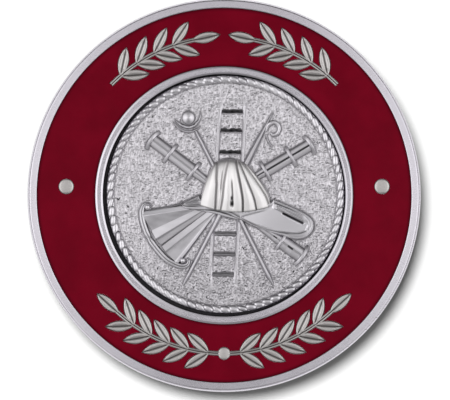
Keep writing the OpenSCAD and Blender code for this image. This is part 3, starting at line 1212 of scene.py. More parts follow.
@dataclass
class Seal:
    """Struck seal: disc, stippled ground and rope border."""

    x: float
    y: float
    under: float
    radius: float
    disc_t: float = 0.9
    strands: int = 84
    rope_w: float = 0.56
    rope_h: float = 0.26
    # distance that a strand runs along the border, and its width over that of an even strand
    strand_lean: float = 0.68
    strand_fullness: float = 1.35
    # height of the bed that the rope lies on
    bed_h: float = 0.1
    ground_pitch: float = 0.055
    grain: float = 0.145
    grain_depth: float = 0.077
    pit_depth: float = 0.06
    # darkening of the ground towards its lower edge, less towards its left edge
    lower_darkening: float = 0.12
    # painted shade and half width of the seams beside the rope and round the tools
    rope_seam_shade: Pair = (0.65, 0.08)
    tool_seam_shade: Pair = (0.68, 0.068)

    @classmethod
    def from_frame(cls) -> "Seal":
        """The seal at the place and size of its CAD node.

        Returns:
            The seal, in millimetres.
        """
        low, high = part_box("seal")
        return cls(x=(low.x + high.x) / 2 / MM, y=(low.y + high.y) / 2 / MM, under=low.z / MM,
                   radius=(high.x - low.x) / 2 / MM)

    @property
    def ground(self) -> float:
        """Height of the ground that the emblem stands on."""
        return self.under + self.disc_t

    def set_in(self, shell: Shell) -> Shell:
        """A shell that is measured from the ground's middle, in its place on the badge."""
        return shell.placed(self.x, self.y, self.ground)

    def disc(self) -> Shell:
        """Disc under the ground, with a bevelled edge.

        Returns:
            The disc, measured from the ground's middle.
        """
        r = self.radius
        rows = [(0, -self.disc_t, 0), (r - 0.08, -self.disc_t, 0.05), (r, -self.disc_t + 0.1, 0.05),
                (r, self.bed_h - 0.03, 0.02), (r - 0.04, self.bed_h, 0.02),
                (r - self.rope_w, self.bed_h - 0.04, 0.05), (r - self.rope_w - 0.04, -0.06, 0.02),
                (0, -0.06, 0)]
        shell = lathe(rounded(rows), 192)
        # painted shade: the disc's side below the ground is dark, like the shaded gap round the seal
        shell.shade[:] = np.where(shell.points[:, 2] < -0.1, 1.0, 0.05)
        return shell

    def ground_shell(self, outlines: Sequence[Points]) -> Shell:
        """Flat ground with painted shade in the seams round the emblem.

        Args:
            outlines: lines where the emblem's shapes leave the ground.

        Returns:
            The ground as a closed shell.
        """
        reach = self.mid_r()

        def surface(x: np.ndarray, y: np.ndarray) -> tuple[np.ndarray, np.ndarray]:
            """Level ground inside the rope, with its seams.

            Args:
                x: places along X.
                y: places along Y.

            Returns:
                Height and shade at each place.
            """
            r = np.hypot(x, y)
            # painted shade in the seams beside the rope and round each tool
            most, half = self.rope_seam_shade
            seam = most * bell(r - reach + self.rope_w / 2 + 0.02, half)
            flat_x, flat_y = x.ravel(), y.ravel()
            dark = (seam + self.lower_darkening * (eased(-y, 1.5, 8.5) - 0.4 * eased(-x, 2, 7))).ravel()
            most, half = self.tool_seam_shade
            for line in outlines:
                low, high = line.min(0) - 0.3, line.max(0) + 0.3
                near = (flat_x > low[0]) & (flat_x < high[0]) & (flat_y > low[1]) & (flat_y < high[1])
                gap = line_distance(line, flat_x[near], flat_y[near])
                dark[near] = np.maximum(dark[near], most * bell(gap, half))
            return np.where(r < reach, 0.0, -0.3), dark.reshape(x.shape)

        corner = np.array([reach, reach])
        return patch(-corner, corner, self.ground_pitch, surface, arc(reach, 0, 360, 181))

    def stippled(self, obj: bpy.types.Object, material: bpy.types.Material) -> bpy.types.Object:
        """Raises the stipple on the ground by geometry nodes.

        Args:
            obj: the flat ground.
            material: finish of the ground.

        Returns:
            The ground with its stipple.
        """
        t = GeometryTree("stipple")
        grain = t.size("Grain size", self.grain * MM)
        depth = t.size("Grain depth", self.grain_depth * MM)
        pit = t.size("Pit depth", self.pit_depth * MM)
        base = t.size("Ground height", self.ground * MM)
        place = t.node("GeometryNodeInputPosition")
        # grains of three sizes, the larger ones drawn out a little, and a deep pit here and there
        fine = t.noise(place, grain, 2, 0.55)
        drawn = t.vector("MULTIPLY", place, (1.25, 0.8, 1.0))
        cells = t.node("ShaderNodeTexVoronoi", None,
                       {"Vector": drawn, "Scale": 1 / (grain * 1.15), "Randomness": 1.0}, "Distance")
        deep = t.noise(place, grain * 1.6, 1).between(0.66, 0.7)
        broad = t.noise(drawn, grain * 2.3, 1)
        # the stipple is deeper towards -Y and shallower towards -X, and fades out in the seams
        south = (t.part(place, "Y") * -1 / MM).between(2, 7)
        west = (t.part(place, "X") * -1 / MM).between(3, 8)
        relief = south * 0.4 + 1 - west * 0.25
        raised = ((fine - 0.5) * 2.0 + (0.45 - cells) * 0.85 + (broad - 0.5) * 2.2) * relief
        seams = t.node("GeometryNodeInputNamedAttribute", {"data_type": "FLOAT"}, {"Name": SHADE})
        clear = 1 - seams.between(0.25, 0.55)
        height = (raised * depth - deep * pit) * clear
        on_top = t.maths("GREATER_THAN", t.part(place, "Z"), base - 0.05 * MM)
        offset = t.node("ShaderNodeCombineXYZ", None, {"Z": height * on_top})
        moved = t.node("GeometryNodeSetPosition", None, {"Geometry": t.start(), "Offset": offset})
        # painted shade that grows down the stipple into its hollows and deep pits, so its tops stand
        # out lighter
        hollow_shade = (t.maths("MAXIMUM", (0.45 - raised) * 0.36, deep * 0.95) * clear).held()
        stored = t.node("GeometryNodeStoreNamedAttribute", {"data_type": "FLOAT", "domain": "POINT"}, {
            "Geometry": moved, "Name": SHADE, "Value": seams + hollow_shade})
        t.finish(stored, material)
        return t.run(obj)

    def strand(self) -> Shell:
        """One strand of the rope, slightly bent, with pointed ends.

        Returns:
            The strand, along +X from the origin both ways.
        """
        length = math.hypot(self.rope_w, self.strand_lean)
        pitch = 2 * math.pi * self.mid_r() / self.strands
        wide = pitch * self.rope_w / length / 2 * self.strand_fullness
        share = np.linspace(-1, 1, 19)
        taper = np.maximum(1 - np.abs(share) ** 4, 0.0)
        half, tall = wide * taper ** 0.6, self.rope_h * taper ** 0.5
        path = np.stack([share * (length / 2 + 0.03), 0.07 * np.sin(share * math.pi)], 1)
        return strip(path, np.maximum(half, 0.012), np.maximum(tall, 0.004), sink=0.1, foot=0.35)

    def mid_r(self) -> float:
        """Radius of the rope's middle line."""
        return self.radius - self.rope_w / 2

    def rope(self, material: bpy.types.Material) -> bpy.types.Object:
        """Rope border: one strand repeated round the seal by geometry nodes.

        Args:
            material: finish of the rope.

        Returns:
            The rope as one object.
        """
        strand = self.strand().object("one_strand", 60)
        t = GeometryTree("rope_border")
        count = t.size("Strands", self.strands, "NodeSocketInt")
        radius = t.size("Rope radius", self.mid_r() * MM)
        lean = t.size("Lean", math.atan2(self.strand_lean, self.rope_w))
        shape = t.size("Strand", strand, "NodeSocketObject")
        index = t.node("GeometryNodeInputIndex")
        angle = index * (2 * math.pi) / count
        turn = t.node("ShaderNodeCombineXYZ", None, {"Z": angle + lean})
        width, rise = (t.node("FunctionNodeRandomValue", {"data_type": "FLOAT"},
                              {2: least, 3: most, "ID": index, "Seed": seed}, 1)
                       for least, most, seed in ((0.8, 1.1, 7), (0.6, 1.2, 19)))
        size = t.node("ShaderNodeCombineXYZ", None, {"X": 1.0, "Y": width, "Z": rise})
        strands = t.copies(shape, count, radius * t.maths("COSINE", angle),
                           radius * t.maths("SINE", angle), Rotation=turn, Scale=size)
        t.finish(t.moved(strands, self.x, self.y, self.ground), material)
        obj = t.run()
        bpy.data.objects.remove(strand)
        return obj

    def build(self, ground: bpy.types.Material, rope: bpy.types.Material,
              outlines: Sequence[Points]) -> None:
        """Builds and dresses the disc, ground and rope.

        Args:
            ground: finish of the disc and ground.
            rope: finish of the rope.
            outlines: lines where the emblem's shapes leave the ground.
        """
        slot = "struck_metal"
        finished(self.set_in(self.disc()).object("seal_disc", 40), ground, slot, "seal")
        flat = self.set_in(self.ground_shell(outlines)).object("seal_ground", 180)
        finished(self.stippled(flat, ground), ground, slot, "seal")
        finished(self.rope(rope), rope, slot, "seal")


@dataclass
class Ladder:
    """Ladder behind the other tools, leaning slightly to the right, with level rungs."""

    at: Pair = (0.22, 0.0)
    tilt: float = 3.3
    top: float = 7.6
    foot: float = -7.7
    width: float = 2.02
    rail_w: float = 0.36
    rail_h: float = 0.085
    rung_l: float = 1.68
    rung_pitch: float = 1.64
    # distance that the rungs, and the middle upper rung beyond that, stand above their even places
    rung_shift: float = 0.08
    middle_shift: float = 0.12
    rung_w: float = 0.42
    rung_h: float = 0.26
    # numbers of the rungs that show, counted from the ladder's middle
    upper: tuple[int, ...] = (2, 3, 4)
    lower: tuple[int, ...] = (-4, -3, -2)

    @property
    def lean(self) -> float:
        """Distance that the ladder leans to the right for each millimetre of height."""
        return math.tan(math.radians(self.tilt))

    def rails(self) -> Shell:
        """Both rails, which sink into the ground towards their ends.

        Returns:
            The rails as one shell.
        """
        parts = []
        for side in (-1, 1):
            y = -side * np.linspace(self.foot, self.top, 60)
            path = np.stack([side * self.width / 2 + self.lean * y, y], 1)
            height = self.rail_h * (0.05 + 0.95 * eased(self.top - np.abs(y), 0.0, 2.4))
            parts.append(strip(path, self.rail_w / 2, height, Section.RAIL, foot=0.12))
        return Shell.joined(parts).placed(*self.at)

    def rung(self, kind: Section) -> Shell:
        """One rung, slightly uneven as a struck one is.

        Args:
            kind: its cross-section.

        Returns:
            The rung, centred on the origin.
        """
        x = np.linspace(-self.rung_l / 2, self.rung_l / 2, 25)
        path = np.stack([x, 0.012 * np.sin(x * 7)], 1)
        half = self.rung_w / 2 * (1 + 0.1 * np.sin(x * 11 + 0.5))
        shell = strip(path, half, self.rung_h, kind, foot=0.4)
        # the rung's painted shade is uneven along it
        uneven = 0.86 + 0.14 * np.cos(x * 4.2 + 0.4) * np.cos(x * 9.1)
        shell.shade = (shell.shade.reshape(len(x), -1) * uneven[:, None]).ravel()
        return shell

    def rungs(self, name: str, rows: Sequence[int], kind: Section, nudge: float, seal: Seal,
              material: bpy.types.Material) -> bpy.types.Object:
        """A row of rungs, repeated up the ladder by geometry nodes.

        Args:
            name: name of the row.
            rows: numbers of the rungs, counted from the ladder's middle.
            kind: cross-section of a rung.
            nudge: distance that the second rung stands above its even place.
            seal: the seal that they stand on.
            material: finish of the rungs.

        Returns:
            The rungs as one object.
        """
        rung = self.rung(kind).object("one_rung", 28)
        t = GeometryTree(name)
        count = t.size("Rungs", len(rows), "NodeSocketInt")
        pitch = t.size("Rung pitch", self.rung_pitch * MM)
        first = t.size("First rung", (min(rows) * self.rung_pitch + self.rung_shift) * MM)
        shape = t.size("Rung", rung, "NodeSocketObject")
        lean = t.size("Lean", self.lean)
        second = t.size("Second rung's nudge", nudge * MM)
        index = t.node("GeometryNodeInputIndex")
        height = first + index * pitch + t.maths("COMPARE", index, 1, 0.1) * second
        rungs = t.copies(shape, count, height * lean, height)
        t.finish(t.moved(rungs, seal.x + self.at[0], seal.y + self.at[1], seal.ground), material)
        obj = t.run()
        bpy.data.objects.remove(rung)
        return obj

    def build(self, seal: Seal, material: bpy.types.Material) -> None:
        """Builds and dresses the ladder.

        Args:
            seal: the seal that it stands on.
            material: its finish.
        """
        slot = "struck_metal"
        finished(seal.set_in(self.rails()).object("ladder_rails", 28), material, slot, "seal")
        for name, rows, kind, nudge in (("upper_rungs", self.upper, Section.WEDGE, self.middle_shift),
                                        ("lower_rungs", self.lower, Section.DOUBLE, 0.0)):
            finished(self.rungs(name, rows, kind, nudge, seal, material), material, slot, "seal")


@dataclass
class Poles:
    """Pike pole with its hook, and the pole that carries a ball in two crescents."""

    # ends of both poles
    pike: tuple[Pair, Pair] = ((-3.36, -7.3), (3.86, 6.6))
    plain: tuple[Pair, Pair] = ((-2.35, 5.1), (3.86, -7.25))
    ball_at: Pair = (-2.95, 6.17)
    ball_r: float = 0.54
    cap_foot: float = 0.26
    cap_rise: float = 0.14
    # painted shade on the plain pole
    pole_shade: float = 0.14
    # line of the hook, from the pole round to the curl's middle
    hook: tuple[Pair, ...] = ((3.3, 5.05), (3.5, 5.54), (3.9, 5.79), (4.28, 5.59), (4.38, 5.22),
                              (4.22, 4.88), (3.9, 4.78), (3.66, 4.98))
    spur: tuple[Pair, ...] = ((3.36, 4.8), (3.46, 4.32), (3.8, 3.84))
    # half width, then angle and radius along each crescent
    crescents: tuple[tuple[float, tuple[Pair, ...]], ...] = (
        (0.15, ((187, 1.1), (212, 0.9), (240, 0.79), (270, 0.77), (305, 0.78), (338, 0.84),
                (388, 1.08))),
        (0.09, ((196, 1.24), (225, 1.15), (262, 1.13), (300, 1.15), (325, 1.18))))

    def pike_pole(self) -> Shell:
        """Pike pole with its tapering point and its hook.

        Returns:
            The pole as one shell.
        """
        along = np.linspace(0, 1, 60)
        half = np.interp(along, [0, 0.04, 0.3, 0.72, 0.86, 1], [0.08, 0.17, 0.2, 0.28, 0.2, 0.03])
        # painted shade, heavier on the pike's upper part
        dark = np.interp(along, [0, 0.5, 0.62, 1], [0.04, 0.06, 0.26, 0.24])[:, None]
        tall = np.interp(along, [0, 0.05, 0.5, 0.85, 1], [0.1, 0.26, 0.3, 0.28, 0.08])
        pole = strip(straight(self.pike, along), half, tall, foot=0.45, shade=dark)
        line = smooth(self.hook, 7)
        share = np.linspace(0, 1, len(line))
        curl = strip(line, np.interp(share, [0, 0.15, 0.8, 1], [0.07, 0.17, 0.15, 0.06]),
                     np.interp(share, [0, 0.2, 1], [0.14, 0.24, 0.16]), Section.FLAT, foot=0.45)
        return Shell.joined([pole, curl, strip(smooth(self.spur, 7), 0.06, 0.12, foot=0.5)])

    def ball_pole(self) -> Shell:
        """Pole with the ball and crescents at its upper end.

        Returns:
            The pole as one shell.
        """
        along = np.linspace(0, 1, 60)
        half = np.interp(along, [0, 0.03, 0.5, 0.95, 1], [0.1, 0.17, 0.2, 0.19, 0.08])
        tall = np.interp(along, [0, 0.05, 0.95, 1], [0.12, 0.26, 0.26, 0.1])
        parts = [strip(straight(self.plain, along), half, tall, foot=0.45, shade=self.pole_shade)]
        for wide, rows in self.crescents:
            angle, radius = smooth(rows, 7).T
            turn = np.radians(angle)
            line = polar(radius, turn) + self.ball_at
            taper = np.maximum(np.sin(np.linspace(0, math.pi, len(line))), 0) ** 0.45
            tall = 0.04 + 0.2 * taper * (1 + 0.2 * np.sin(turn * 11))
            parts.append(strip(line, np.maximum(wide * taper, 0.01), tall, foot=0.3))
        ball = button(self.ball_r, self.cap_foot, self.cap_rise, 40)
        # painted shade round the ball's foot
        ball.shade[:] = foot_shade(ball.points[:, 2], 0.17, 0.9)
        ball.outline = [arc(self.ball_r, 0, 360, 33)]
        parts.append(ball.placed(*self.ball_at))
        return Shell.joined(parts)


@dataclass
class PlayPipes:
    """Three turned nozzles, half sunk in the ground."""

    # height over half width
    flatness: float = 0.5
    # outer end, direction in degrees, cross-section, whether it is the short one, and whether
    # it is mirrored
    pipes: tuple[tuple[Pair, float, Section, bool, bool], ...] = (
        ((-5.9, 4.42), -37.4, Section.SLEEVE, False, False),
        ((6.9, 4.0), 210.6, Section.BARREL, False, True),
        ((6.25, -5.0), 145, Section.SLEEVE, True, False))
    # barrels: start, end, half width at each, whether the groove is painted darker there
    long_barrels: tuple[tuple[float, float, float, float, bool], ...] = (
        (0.1, 1.8, 0.5, 0.5, False), (1.9, 4.2, 0.5, 0.52, False), (4.3, 5.5, 0.36, 0.3, False))
    short_barrels: tuple[tuple[float, float, float, float, bool], ...] = (
        (0.1, 0.95, 0.6, 0.59, False), (0.93, 1.42, 0.592, 0.58, True), (1.4, 2.0, 0.58, 0.57, False),
        (2.1, 2.5, 0.4, 0.38, False), (2.48, 2.86, 0.38, 0.36, True), (2.84, 5.2, 0.36, 0.22, False))
    # collars: start, end, half width
    long_collars: tuple[tuple[float, ...], ...] = (
        (-0.06, 0.32, 0.86), (1.7, 2.04, 0.9), (4.08, 4.4, 0.88))
    short_collars: tuple[tuple[float, ...], ...] = ((-0.06, 0.32, 0.92), (1.92, 2.24, 0.78))

    def pipe(self, at: Pair, direction: float, kind: Section, short: bool, mirrored: bool) -> Shell:
        """One pipe.

        Args:
            at: its outer end.
            direction: the way that it runs, in degrees.
            kind: cross-section of its barrels.
            short: whether it is the short pipe.
            mirrored: whether its cross-section is mirrored.

        Returns:
            The pipe as a shell.
        """
        parts = []
        for start, end, first, last, deep in self.short_barrels if short else self.long_barrels:
            along = np.linspace(0, 1, 16)
            path = straight([(start, 0), (end, 0)], along)
            half = first + (last - first) * along
            parts.append(strip(path, half, half * self.flatness, Section.BARREL if deep else kind))
        for start, end, half in self.short_collars if short else self.long_collars:
            t = np.linspace(-1, 1, 9)
            bow = 0.16 if start < 0 else 0.03
            cross = np.stack([np.full(9, (start + end) / 2) - bow * (1 - t * t), t * half], 1)
            wide = (end - start) / 2 * (1 - 0.25 * np.abs(t) ** 3)
            tall = (half * self.flatness + 0.06) * np.sqrt(np.maximum(1 - 0.8 * t * t, 0.02))
            parts.append(strip(cross, wide, tall, Section.FLAT, foot=0.4))
        shell = Shell.joined(parts)
        if mirrored:
            shell = shell.placed(turn=180, mirrored=True)
        return shell.placed(*at, turn=direction)

    def shells(self) -> list[Shell]:
        """All the pipes."""
        return [self.pipe(*row) for row in self.pipes]


@dataclass
class Trumpets:
    """Two trumpets fanned from one point, with one rolled edge round their bells."""

    rim_half: float = 0.25
    rim_h: float = 0.38
    # length of the bodies over that of their facets, so that they end under the rolled edge
    reach: float = 1.03
    bead_r: float = 0.21
    bead_foot: float = 0.42
    bead_rise: float = 0.08
    # beads that the rim curls round, and the seam between the two bells, which is painted dark
    beads: tuple[Pair, Pair] = ((-6.26, -1.05), (-3.41, -5.35))
    seam: Pair = (-5.97, -3.5)
    # share of the rim's size that is lost at the seam, and its painted shade, each with a half width
    seam_dip: Pair = (0.3, 0.2)
    seam_shade: Pair = (0.9, 0.13)
    # middle line of the rolled edge, from the upper curl to the lower
    rim_line: tuple[Pair, ...] = (
        (-5.98, -1.02), (-6.03, -0.86), (-6.25, -0.78), (-6.5, -0.85), (-6.64, -1.08), (-6.72, -1.5),
        (-6.6, -2.3), (-6.2, -3.38), (-5.6, -4.3), (-4.74, -5.24), (-3.93, -5.7), (-3.45, -5.83),
        (-3.06, -5.7), (-2.92, -5.4), (-3.04, -5.18))
    # line from the upper curl to the helmet's brim, painted dark
    top_line: tuple[Pair, ...] = ((-5.94, -1.23), (-4.9, -1.11), (-3.73, -0.82), (-3.45, -0.57))
    # edges of the facets: outer x and y, inner x and y, height share, painted shade
    facets: tuple[tuple[float, ...], ...] = (
        (-6.6, -1.33, -3.36, -0.88, 0, 0.7),
        (-6.59, -1.39, -3.27, -0.93, 0.54, 0.4),
        (-6.57, -1.46, -3.19, -1.02, 0.62, 0.02),
        (-6.52, -1.6, -3.09, -1.13, 0.7, 0),
        (-6.49, -1.73, -2.91, -1.22, 0.78, 0),
        (-6.47, -1.8, -2.87, -1.25, 0.78, 0.48),
        (-6.17, -2.32, -2.62, -1.25, 0.8, 0.54),
        (-5.84, -2.84, -2.37, -1.25, 0.8, 0.48),
        (-5.82, -2.92, -2.32, -1.27, 0.76, 0.12),
        (-5.48, -3.51, -1.75, -1.27, 0.52, 0.1),
        (-5.42, -3.62, -1.65, -1.28, 0.4, 0.7),
        (-5.35, -3.73, -1.54, -1.28, 0.44, 0.36),
        (-5.12, -3.94, -1.36, -1.28, 0.46, 0.36),
        (-5.05, -4.02, -1.28, -1.28, 0.44, 0.68),
        (-4.97, -4.13, -1.23, -1.29, 0.64, 0.05),
        (-4.72, -4.49, -0.72, -1.33, 0.9, 0),
        (-4.67, -4.58, -0.65, -1.34, 0.8, 0.62),
        (-4.59, -4.67, -0.58, -1.34, 0.84, 0.42),
        (-3.98, -5.28, -0.84, -1.44, 0.78, 0.42),
        (-3.9, -5.35, -0.8, -1.46, 0.72, 0),
        (-3.73, -5.49, -0.72, -1.49, 0.5, 0),
        (-3.65, -5.52, -0.7, -1.51, 0.3, 0.55),
        (-3.58, -5.56, -0.67, -1.53, 0, 0.6))

    def fan(self) -> Shell:
        """The trumpets' faceted bodies, with faint burnishing marks along them.

        Returns:
            The bodies as one shell.
        """
        rows = np.array(self.facets)
        fine = np.linspace(0, len(rows) - 1, 4 * len(rows) - 3)
        keys = np.arange(len(rows))
        out_x, out_y, in_x, in_y, share, tone = (np.interp(fine, keys, rows[:, k]) for k in range(6))
        along = np.linspace(0, self.reach, 40)[:, None]
        grid = np.zeros((len(along), len(fine), 3))
        grid[:, :, 0] = in_x + (out_x - in_x) * along
        grid[:, :, 1] = in_y + (out_y - in_y) * along
        grid[:, :, 2] = (0.2 + 0.3 * along ** 1.6) * share
        marks = 0.06 * np.sin(fine * 2.3 + along * 6) * np.sin(fine * 0.9 + along * 15)
        # each facet's painted shade, with faint marks in the darker ones
        shade = np.clip(tone + marks * (tone < 0.6), 0, 1)
        return slab(grid.transpose(1, 0, 2), shade.T)

    def rim(self) -> Shell:
        """Rolled edge of the bells, which curls in round a bead at each end.

        Returns:
            The edge, its beads and the line above the bodies as one shell.
        """
        line = smooth(self.rim_line, 9)
        swell = np.interp(np.linspace(0, 1, len(line)), [0, 0.12, 0.3, 0.4, 0.62, 0.8, 1],
                          [0.3, 0.42, 0.8, 1, 1, 0.85, 0.4])
        depth, half = self.seam_dip
        dip = 1 - depth * bell(np.linalg.norm(line - self.seam, axis=1), half)
        # the rolled edge has a light painted shade all over, and more at the seam
        rolled = strip(line, self.rim_half * swell * dip, self.rim_h * (0.5 + 0.5 * swell) * dip,
                       Section.RIM, foot=0.3, shade=0.13)
        most, half = self.seam_shade
        away = np.linalg.norm(rolled.points[:, :2] - self.seam, axis=1)
        rolled.shade = np.maximum(rolled.shade, most * bell(away, half))
        line = strip(smooth(self.top_line, 9), 0.075, 0.14, foot=0.6, shade=0.5)
        bead = button(self.bead_r, self.bead_foot, self.bead_rise, 20)
        return Shell.joined([rolled, line, *(bead.placed(x, y) for x, y in self.beads)])


@dataclass
class Helmet:
    """Ribbed crown and long brim with a rolled lip."""

    # height of the crown's side edges, height of its middle, and power of the curve between
    edge_h: float = 0.44
    rise: float = 0.89
    fullness: float = 0.8
    rib_h: float = 0.07
    brim_h: float = 0.36
    brim_pitch: float = 0.042
    # rolled lip: distance of its middle from the brim's edge, half width, height
    roll_at: float = 0.2
    roll_half: float = 0.17
    roll_h: float = 0.035
    # left x, left y, right x, right y, bulge, share of the rise
    crown_rows: tuple[tuple[float, ...], ...] = (
        (-2.1, -0.88, 3.78, -0.98, -0.54, 0.72), (-1.94, -0.1, 3.55, 0, -0.34, 0.9),
        (-1.64, 0.95, 2.94, 1.05, -0.08, 1), (-1.26, 1.85, 2.36, 1.8, 0.2, 0.92),
        (-0.98, 2.35, 2.02, 2.2, 0.4, 0.66), (-0.84, 2.55, 1.84, 2.36, 0.45, 0.16))
    # place across the crown at its bottom, middle and top, half width, depth, painted shade, and the
    # shares of the height where it starts and ends
    grooves: tuple[tuple[float, ...], ...] = (
        (0.222, 0.211, 0.06, 0.085, 0.09, 0.8, -1, 2),
        (0.26, 0.29, 0.3, 0.05, 0.04, 0.55, 0.3, 0.62),
        (0.294, 0.336, 0.45, 0.07, 0.06, 0.6, -1, 0.97),
        (0.451, 0.478, 0.5, 0.055, 0.06, 0.85, 0.1, 0.48),
        (0.603, 0.623, 0.63, 0.085, 0.09, 1.0, -1, 0.95),
        (0.794, 0.761, 0.71, 0.07, 0.08, 0.9, -1, 0.9),
        (0.974, 0.919, 0.85, 0.06, 0.06, 0.6, -1, 2))
    # place across, share of the height, half width, half height, of the small pits, which are painted
    # dark
    pits: tuple[tuple[float, ...], ...] = ((0.452, 0.13, 0.024, 0.045), (0.454, 0.205, 0.015, 0.028))
    pit_depth: float = 0.08
    # outline of the brim
    outline: tuple[Pair, ...] = (
        (-3.5, -1.1), (-3.42, -0.68), (-2.8, -0.34), (-1.98, -0.02), (-1.5, -0.5), (3.2, -0.7),
        (3.86, -0.4), (5, -0.8), (5.9, -1.2), (6.5, -1.5), (7.02, -1.9), (7.24, -2.42), (7.08, -3.1),
        (6.42, -3.64), (5.5, -3.7), (4.4, -3.35), (3.05, -2.94), (2.05, -2.56), (1.3, -2.2),
        (0.2, -1.96), (-1, -1.62), (-2.4, -1.36))
    # smooth hollow in the brim, its depth, the slope of its floor, where the floor has that depth,
    # and where in X the slope turns from X to Y
    scoop_depth: float = 0.03
    scoop_slope: float = 0.05
    scoop_level: Pair = (3.2, -2.4)
    scoop_turn: Pair = (1.5, 6.5)
    scoop: tuple[Pair, ...] = (
        (1.3, -1.85), (2.8, -1.4), (4.3, -1.1), (5.4, -1.75), (6.5, -2.3), (6.66, -2.7),
        (6.1, -3.12), (4.6, -3), (3.2, -2.72), (2, -2.3))
    # grooves on the brim: half width, depth, painted shade, then the line
    lines: tuple[tuple[Any, ...], ...] = (
        (0.07, 0.05, 0.6, ((-3.5, -0.98), (-1.5, -0.9), (-0.6, -1.02), (0.2, -1.3), (1.2, -1.82))),
        (0.06, 0.05, 0.7, ((-3.3, -1.32), (-2, -1.28), (-1, -1.28), (0, -1.5), (1.1, -1.98),
                           (2.4, -2.5), (3.4, -2.85), (5, -3.12), (6, -3.14), (6.55, -2.95))),
        (0.07, 0.2, 1.0, ((4.7, -1.55), (5.4, -1.9), (6.26, -2.33))),
        (0.05, 0.04, 0.45, ((3.95, -0.62), (5, -1.02), (6.1, -1.5), (6.75, -2.1), (6.85, -2.6))),
        (0.06, 0.05, 0.5, ((-3.2, -0.78), (-2.5, -0.62), (-1.95, -0.5))))

    def crown(self) -> Shell:
        """Half-dome with its grooves between the ribs.

        Returns:
            The crown as a closed shell.
        """
        rows = np.array(self.crown_rows)
        up = np.unique(np.concatenate([np.linspace(0, 1, 46), [0.004, 0.01, 0.016, 0.03, 0.97, 0.99]]))
        keys = np.linspace(0, 1, len(rows))
        steps = smooth([(key, 0) for key in keys], 12)[:, 0]
        curves = [smooth(list(zip(keys, column)), 12)[:, 1] for column in rows.T]
        left_x, left_y, right_x, right_y, bulge, lift = (
            np.interp(up, steps, curve)[:, None] for curve in curves)
        marks = np.array([[0, 0, 0], *[groove[:3] for groove in self.grooves], [1, 1, 1]])
        middles = np.stack([np.interp(up, [0, 0.38, 1], mark) for mark in marks], 1)
        up = up[:, None]
        # points stand closest on both sides of each groove's middle
        pleat = np.unique(np.concatenate([np.linspace(0, 1, 40), [0.03, 0.06, 0.1, 0.9, 0.94, 0.97]]))
        place = np.unique(np.concatenate([k + pleat for k in range(len(marks) - 1)]))
        across = np.stack([np.interp(place, np.arange(len(marks)), row) for row in middles])
        wide = right_x - left_x
        bow = 4 * across * (1 - across)
        edge = np.clip(np.minimum(across, 1 - across) * wide / 0.13, 0, 1)
        arch = self.edge_h * np.sqrt(1 - (1 - edge) ** 2)
        arch = arch + (self.rise - self.edge_h) * bow ** self.fullness
        ribs = self.rib_h * (1 - np.abs(2 * (place % 1) - 1) ** 1.3) * (1 - 0.6 * up)
        height = lift * (arch + ribs)
        # painted shade at the crown's foot and along its bottom edge
        shade = np.maximum(foot_shade(height, most=0.7), 0.75 * bell(up, 0.018))
        for k, (_, _, _, half, depth, dark, first, last) in enumerate(self.grooves, 1):
            gap = (across - middles[:, [k]]) * wide
            ends = eased(up, first - 0.03, first + 0.03) * (1 - eased(up, last - 0.1, last))
            cut = bell(gap, half) * ends
            height = height - depth * cut
            shade = np.maximum(shade, dark * cut * (1 - 0.5 * up))
        # painted shade makes the top and the right edge a little darker
        shade = np.maximum(shade, 0.32 * eased(up, 0.72, 0.99))
        shade = np.maximum(shade, 0.16 * eased(across, 0.93, 0.97))
        for x, y, half_w, half_h in self.pits:
            pit = np.exp(-((across - x) / half_w) ** 4 - ((up - y) / half_h) ** 4)
            height = height - self.pit_depth * pit
            shade = np.maximum(shade, pit)
        grid = np.stack([left_x + wide * across, left_y + (right_y - left_y) * across + bulge * bow,
                         np.maximum(height, 0)], 2)
        return slab(grid, shade)

    def rolled(self, inside: np.ndarray) -> np.ndarray:
        """Height of the brim with its rolled lip, by the distance inside its edge.

        Args:
            inside: distances from the edge, above zero inside it.

        Returns:
            The heights above the ground.
        """
        outside = -0.3
        wall = eased(inside, 0, 0.1)
        roll = 1 - np.clip(np.abs(inside - self.roll_at) / self.roll_half, 0, 1) ** 2
        return outside + (self.brim_h - outside) * wall + self.roll_h * roll ** 1.5 * (inside > 0)

    def scoop_floor(self, x: np.ndarray, y: np.ndarray) -> np.ndarray:
        """Height of the hollow's floor, whose slope turns from X to Y towards the brim's point.

        Args:
            x: places along X.
            y: places along Y.

        Returns:
            The heights above the ground.
        """
        start, end = self.scoop_turn
        turned = np.clip((x - start) / (end - start), 0, 1)
        along = self.scoop_slope * (x - self.scoop_level[0]) * (1 - turned)
        across = self.scoop_slope * (y - self.scoop_level[1]) * turned
        return self.brim_h - self.scoop_depth + along + across

    def brim(self) -> Shell:
        """Brim with its rolled lip, hollow and grooves.

        Returns:
            The brim as a closed shell.
        """
        loop = smooth(self.outline, 6, True)
        hollow = smooth(self.scoop, 6, True)
        lines = [(half, depth, dark, smooth(line, 6)) for half, depth, dark, line in self.lines]

        def surface(x: np.ndarray, y: np.ndarray) -> tuple[np.ndarray, np.ndarray]:
            """The brim's height above the ground and its tarnish.

            Args:
                x: places along X.
                y: places along Y.

            Returns:
                Height and shade at each place.
            """
            inside = inside_distance(loop, x, y)
            height = self.rolled(inside)
            share = eased(inside_distance(hollow, x, y), -0.03, 0.08)
            scooped = height * (1 - share) + self.scoop_floor(x, y) * share
            height = np.where(inside > 0, scooped, height)
            # painted shade at the brim's foot, and on its lip towards the point
            lip = (1 - share) * eased(x, 3.6, 5.6) * (inside > 0)
            dark = np.maximum(foot_shade(height, 0.2, 0.8), 0.3 * lip)
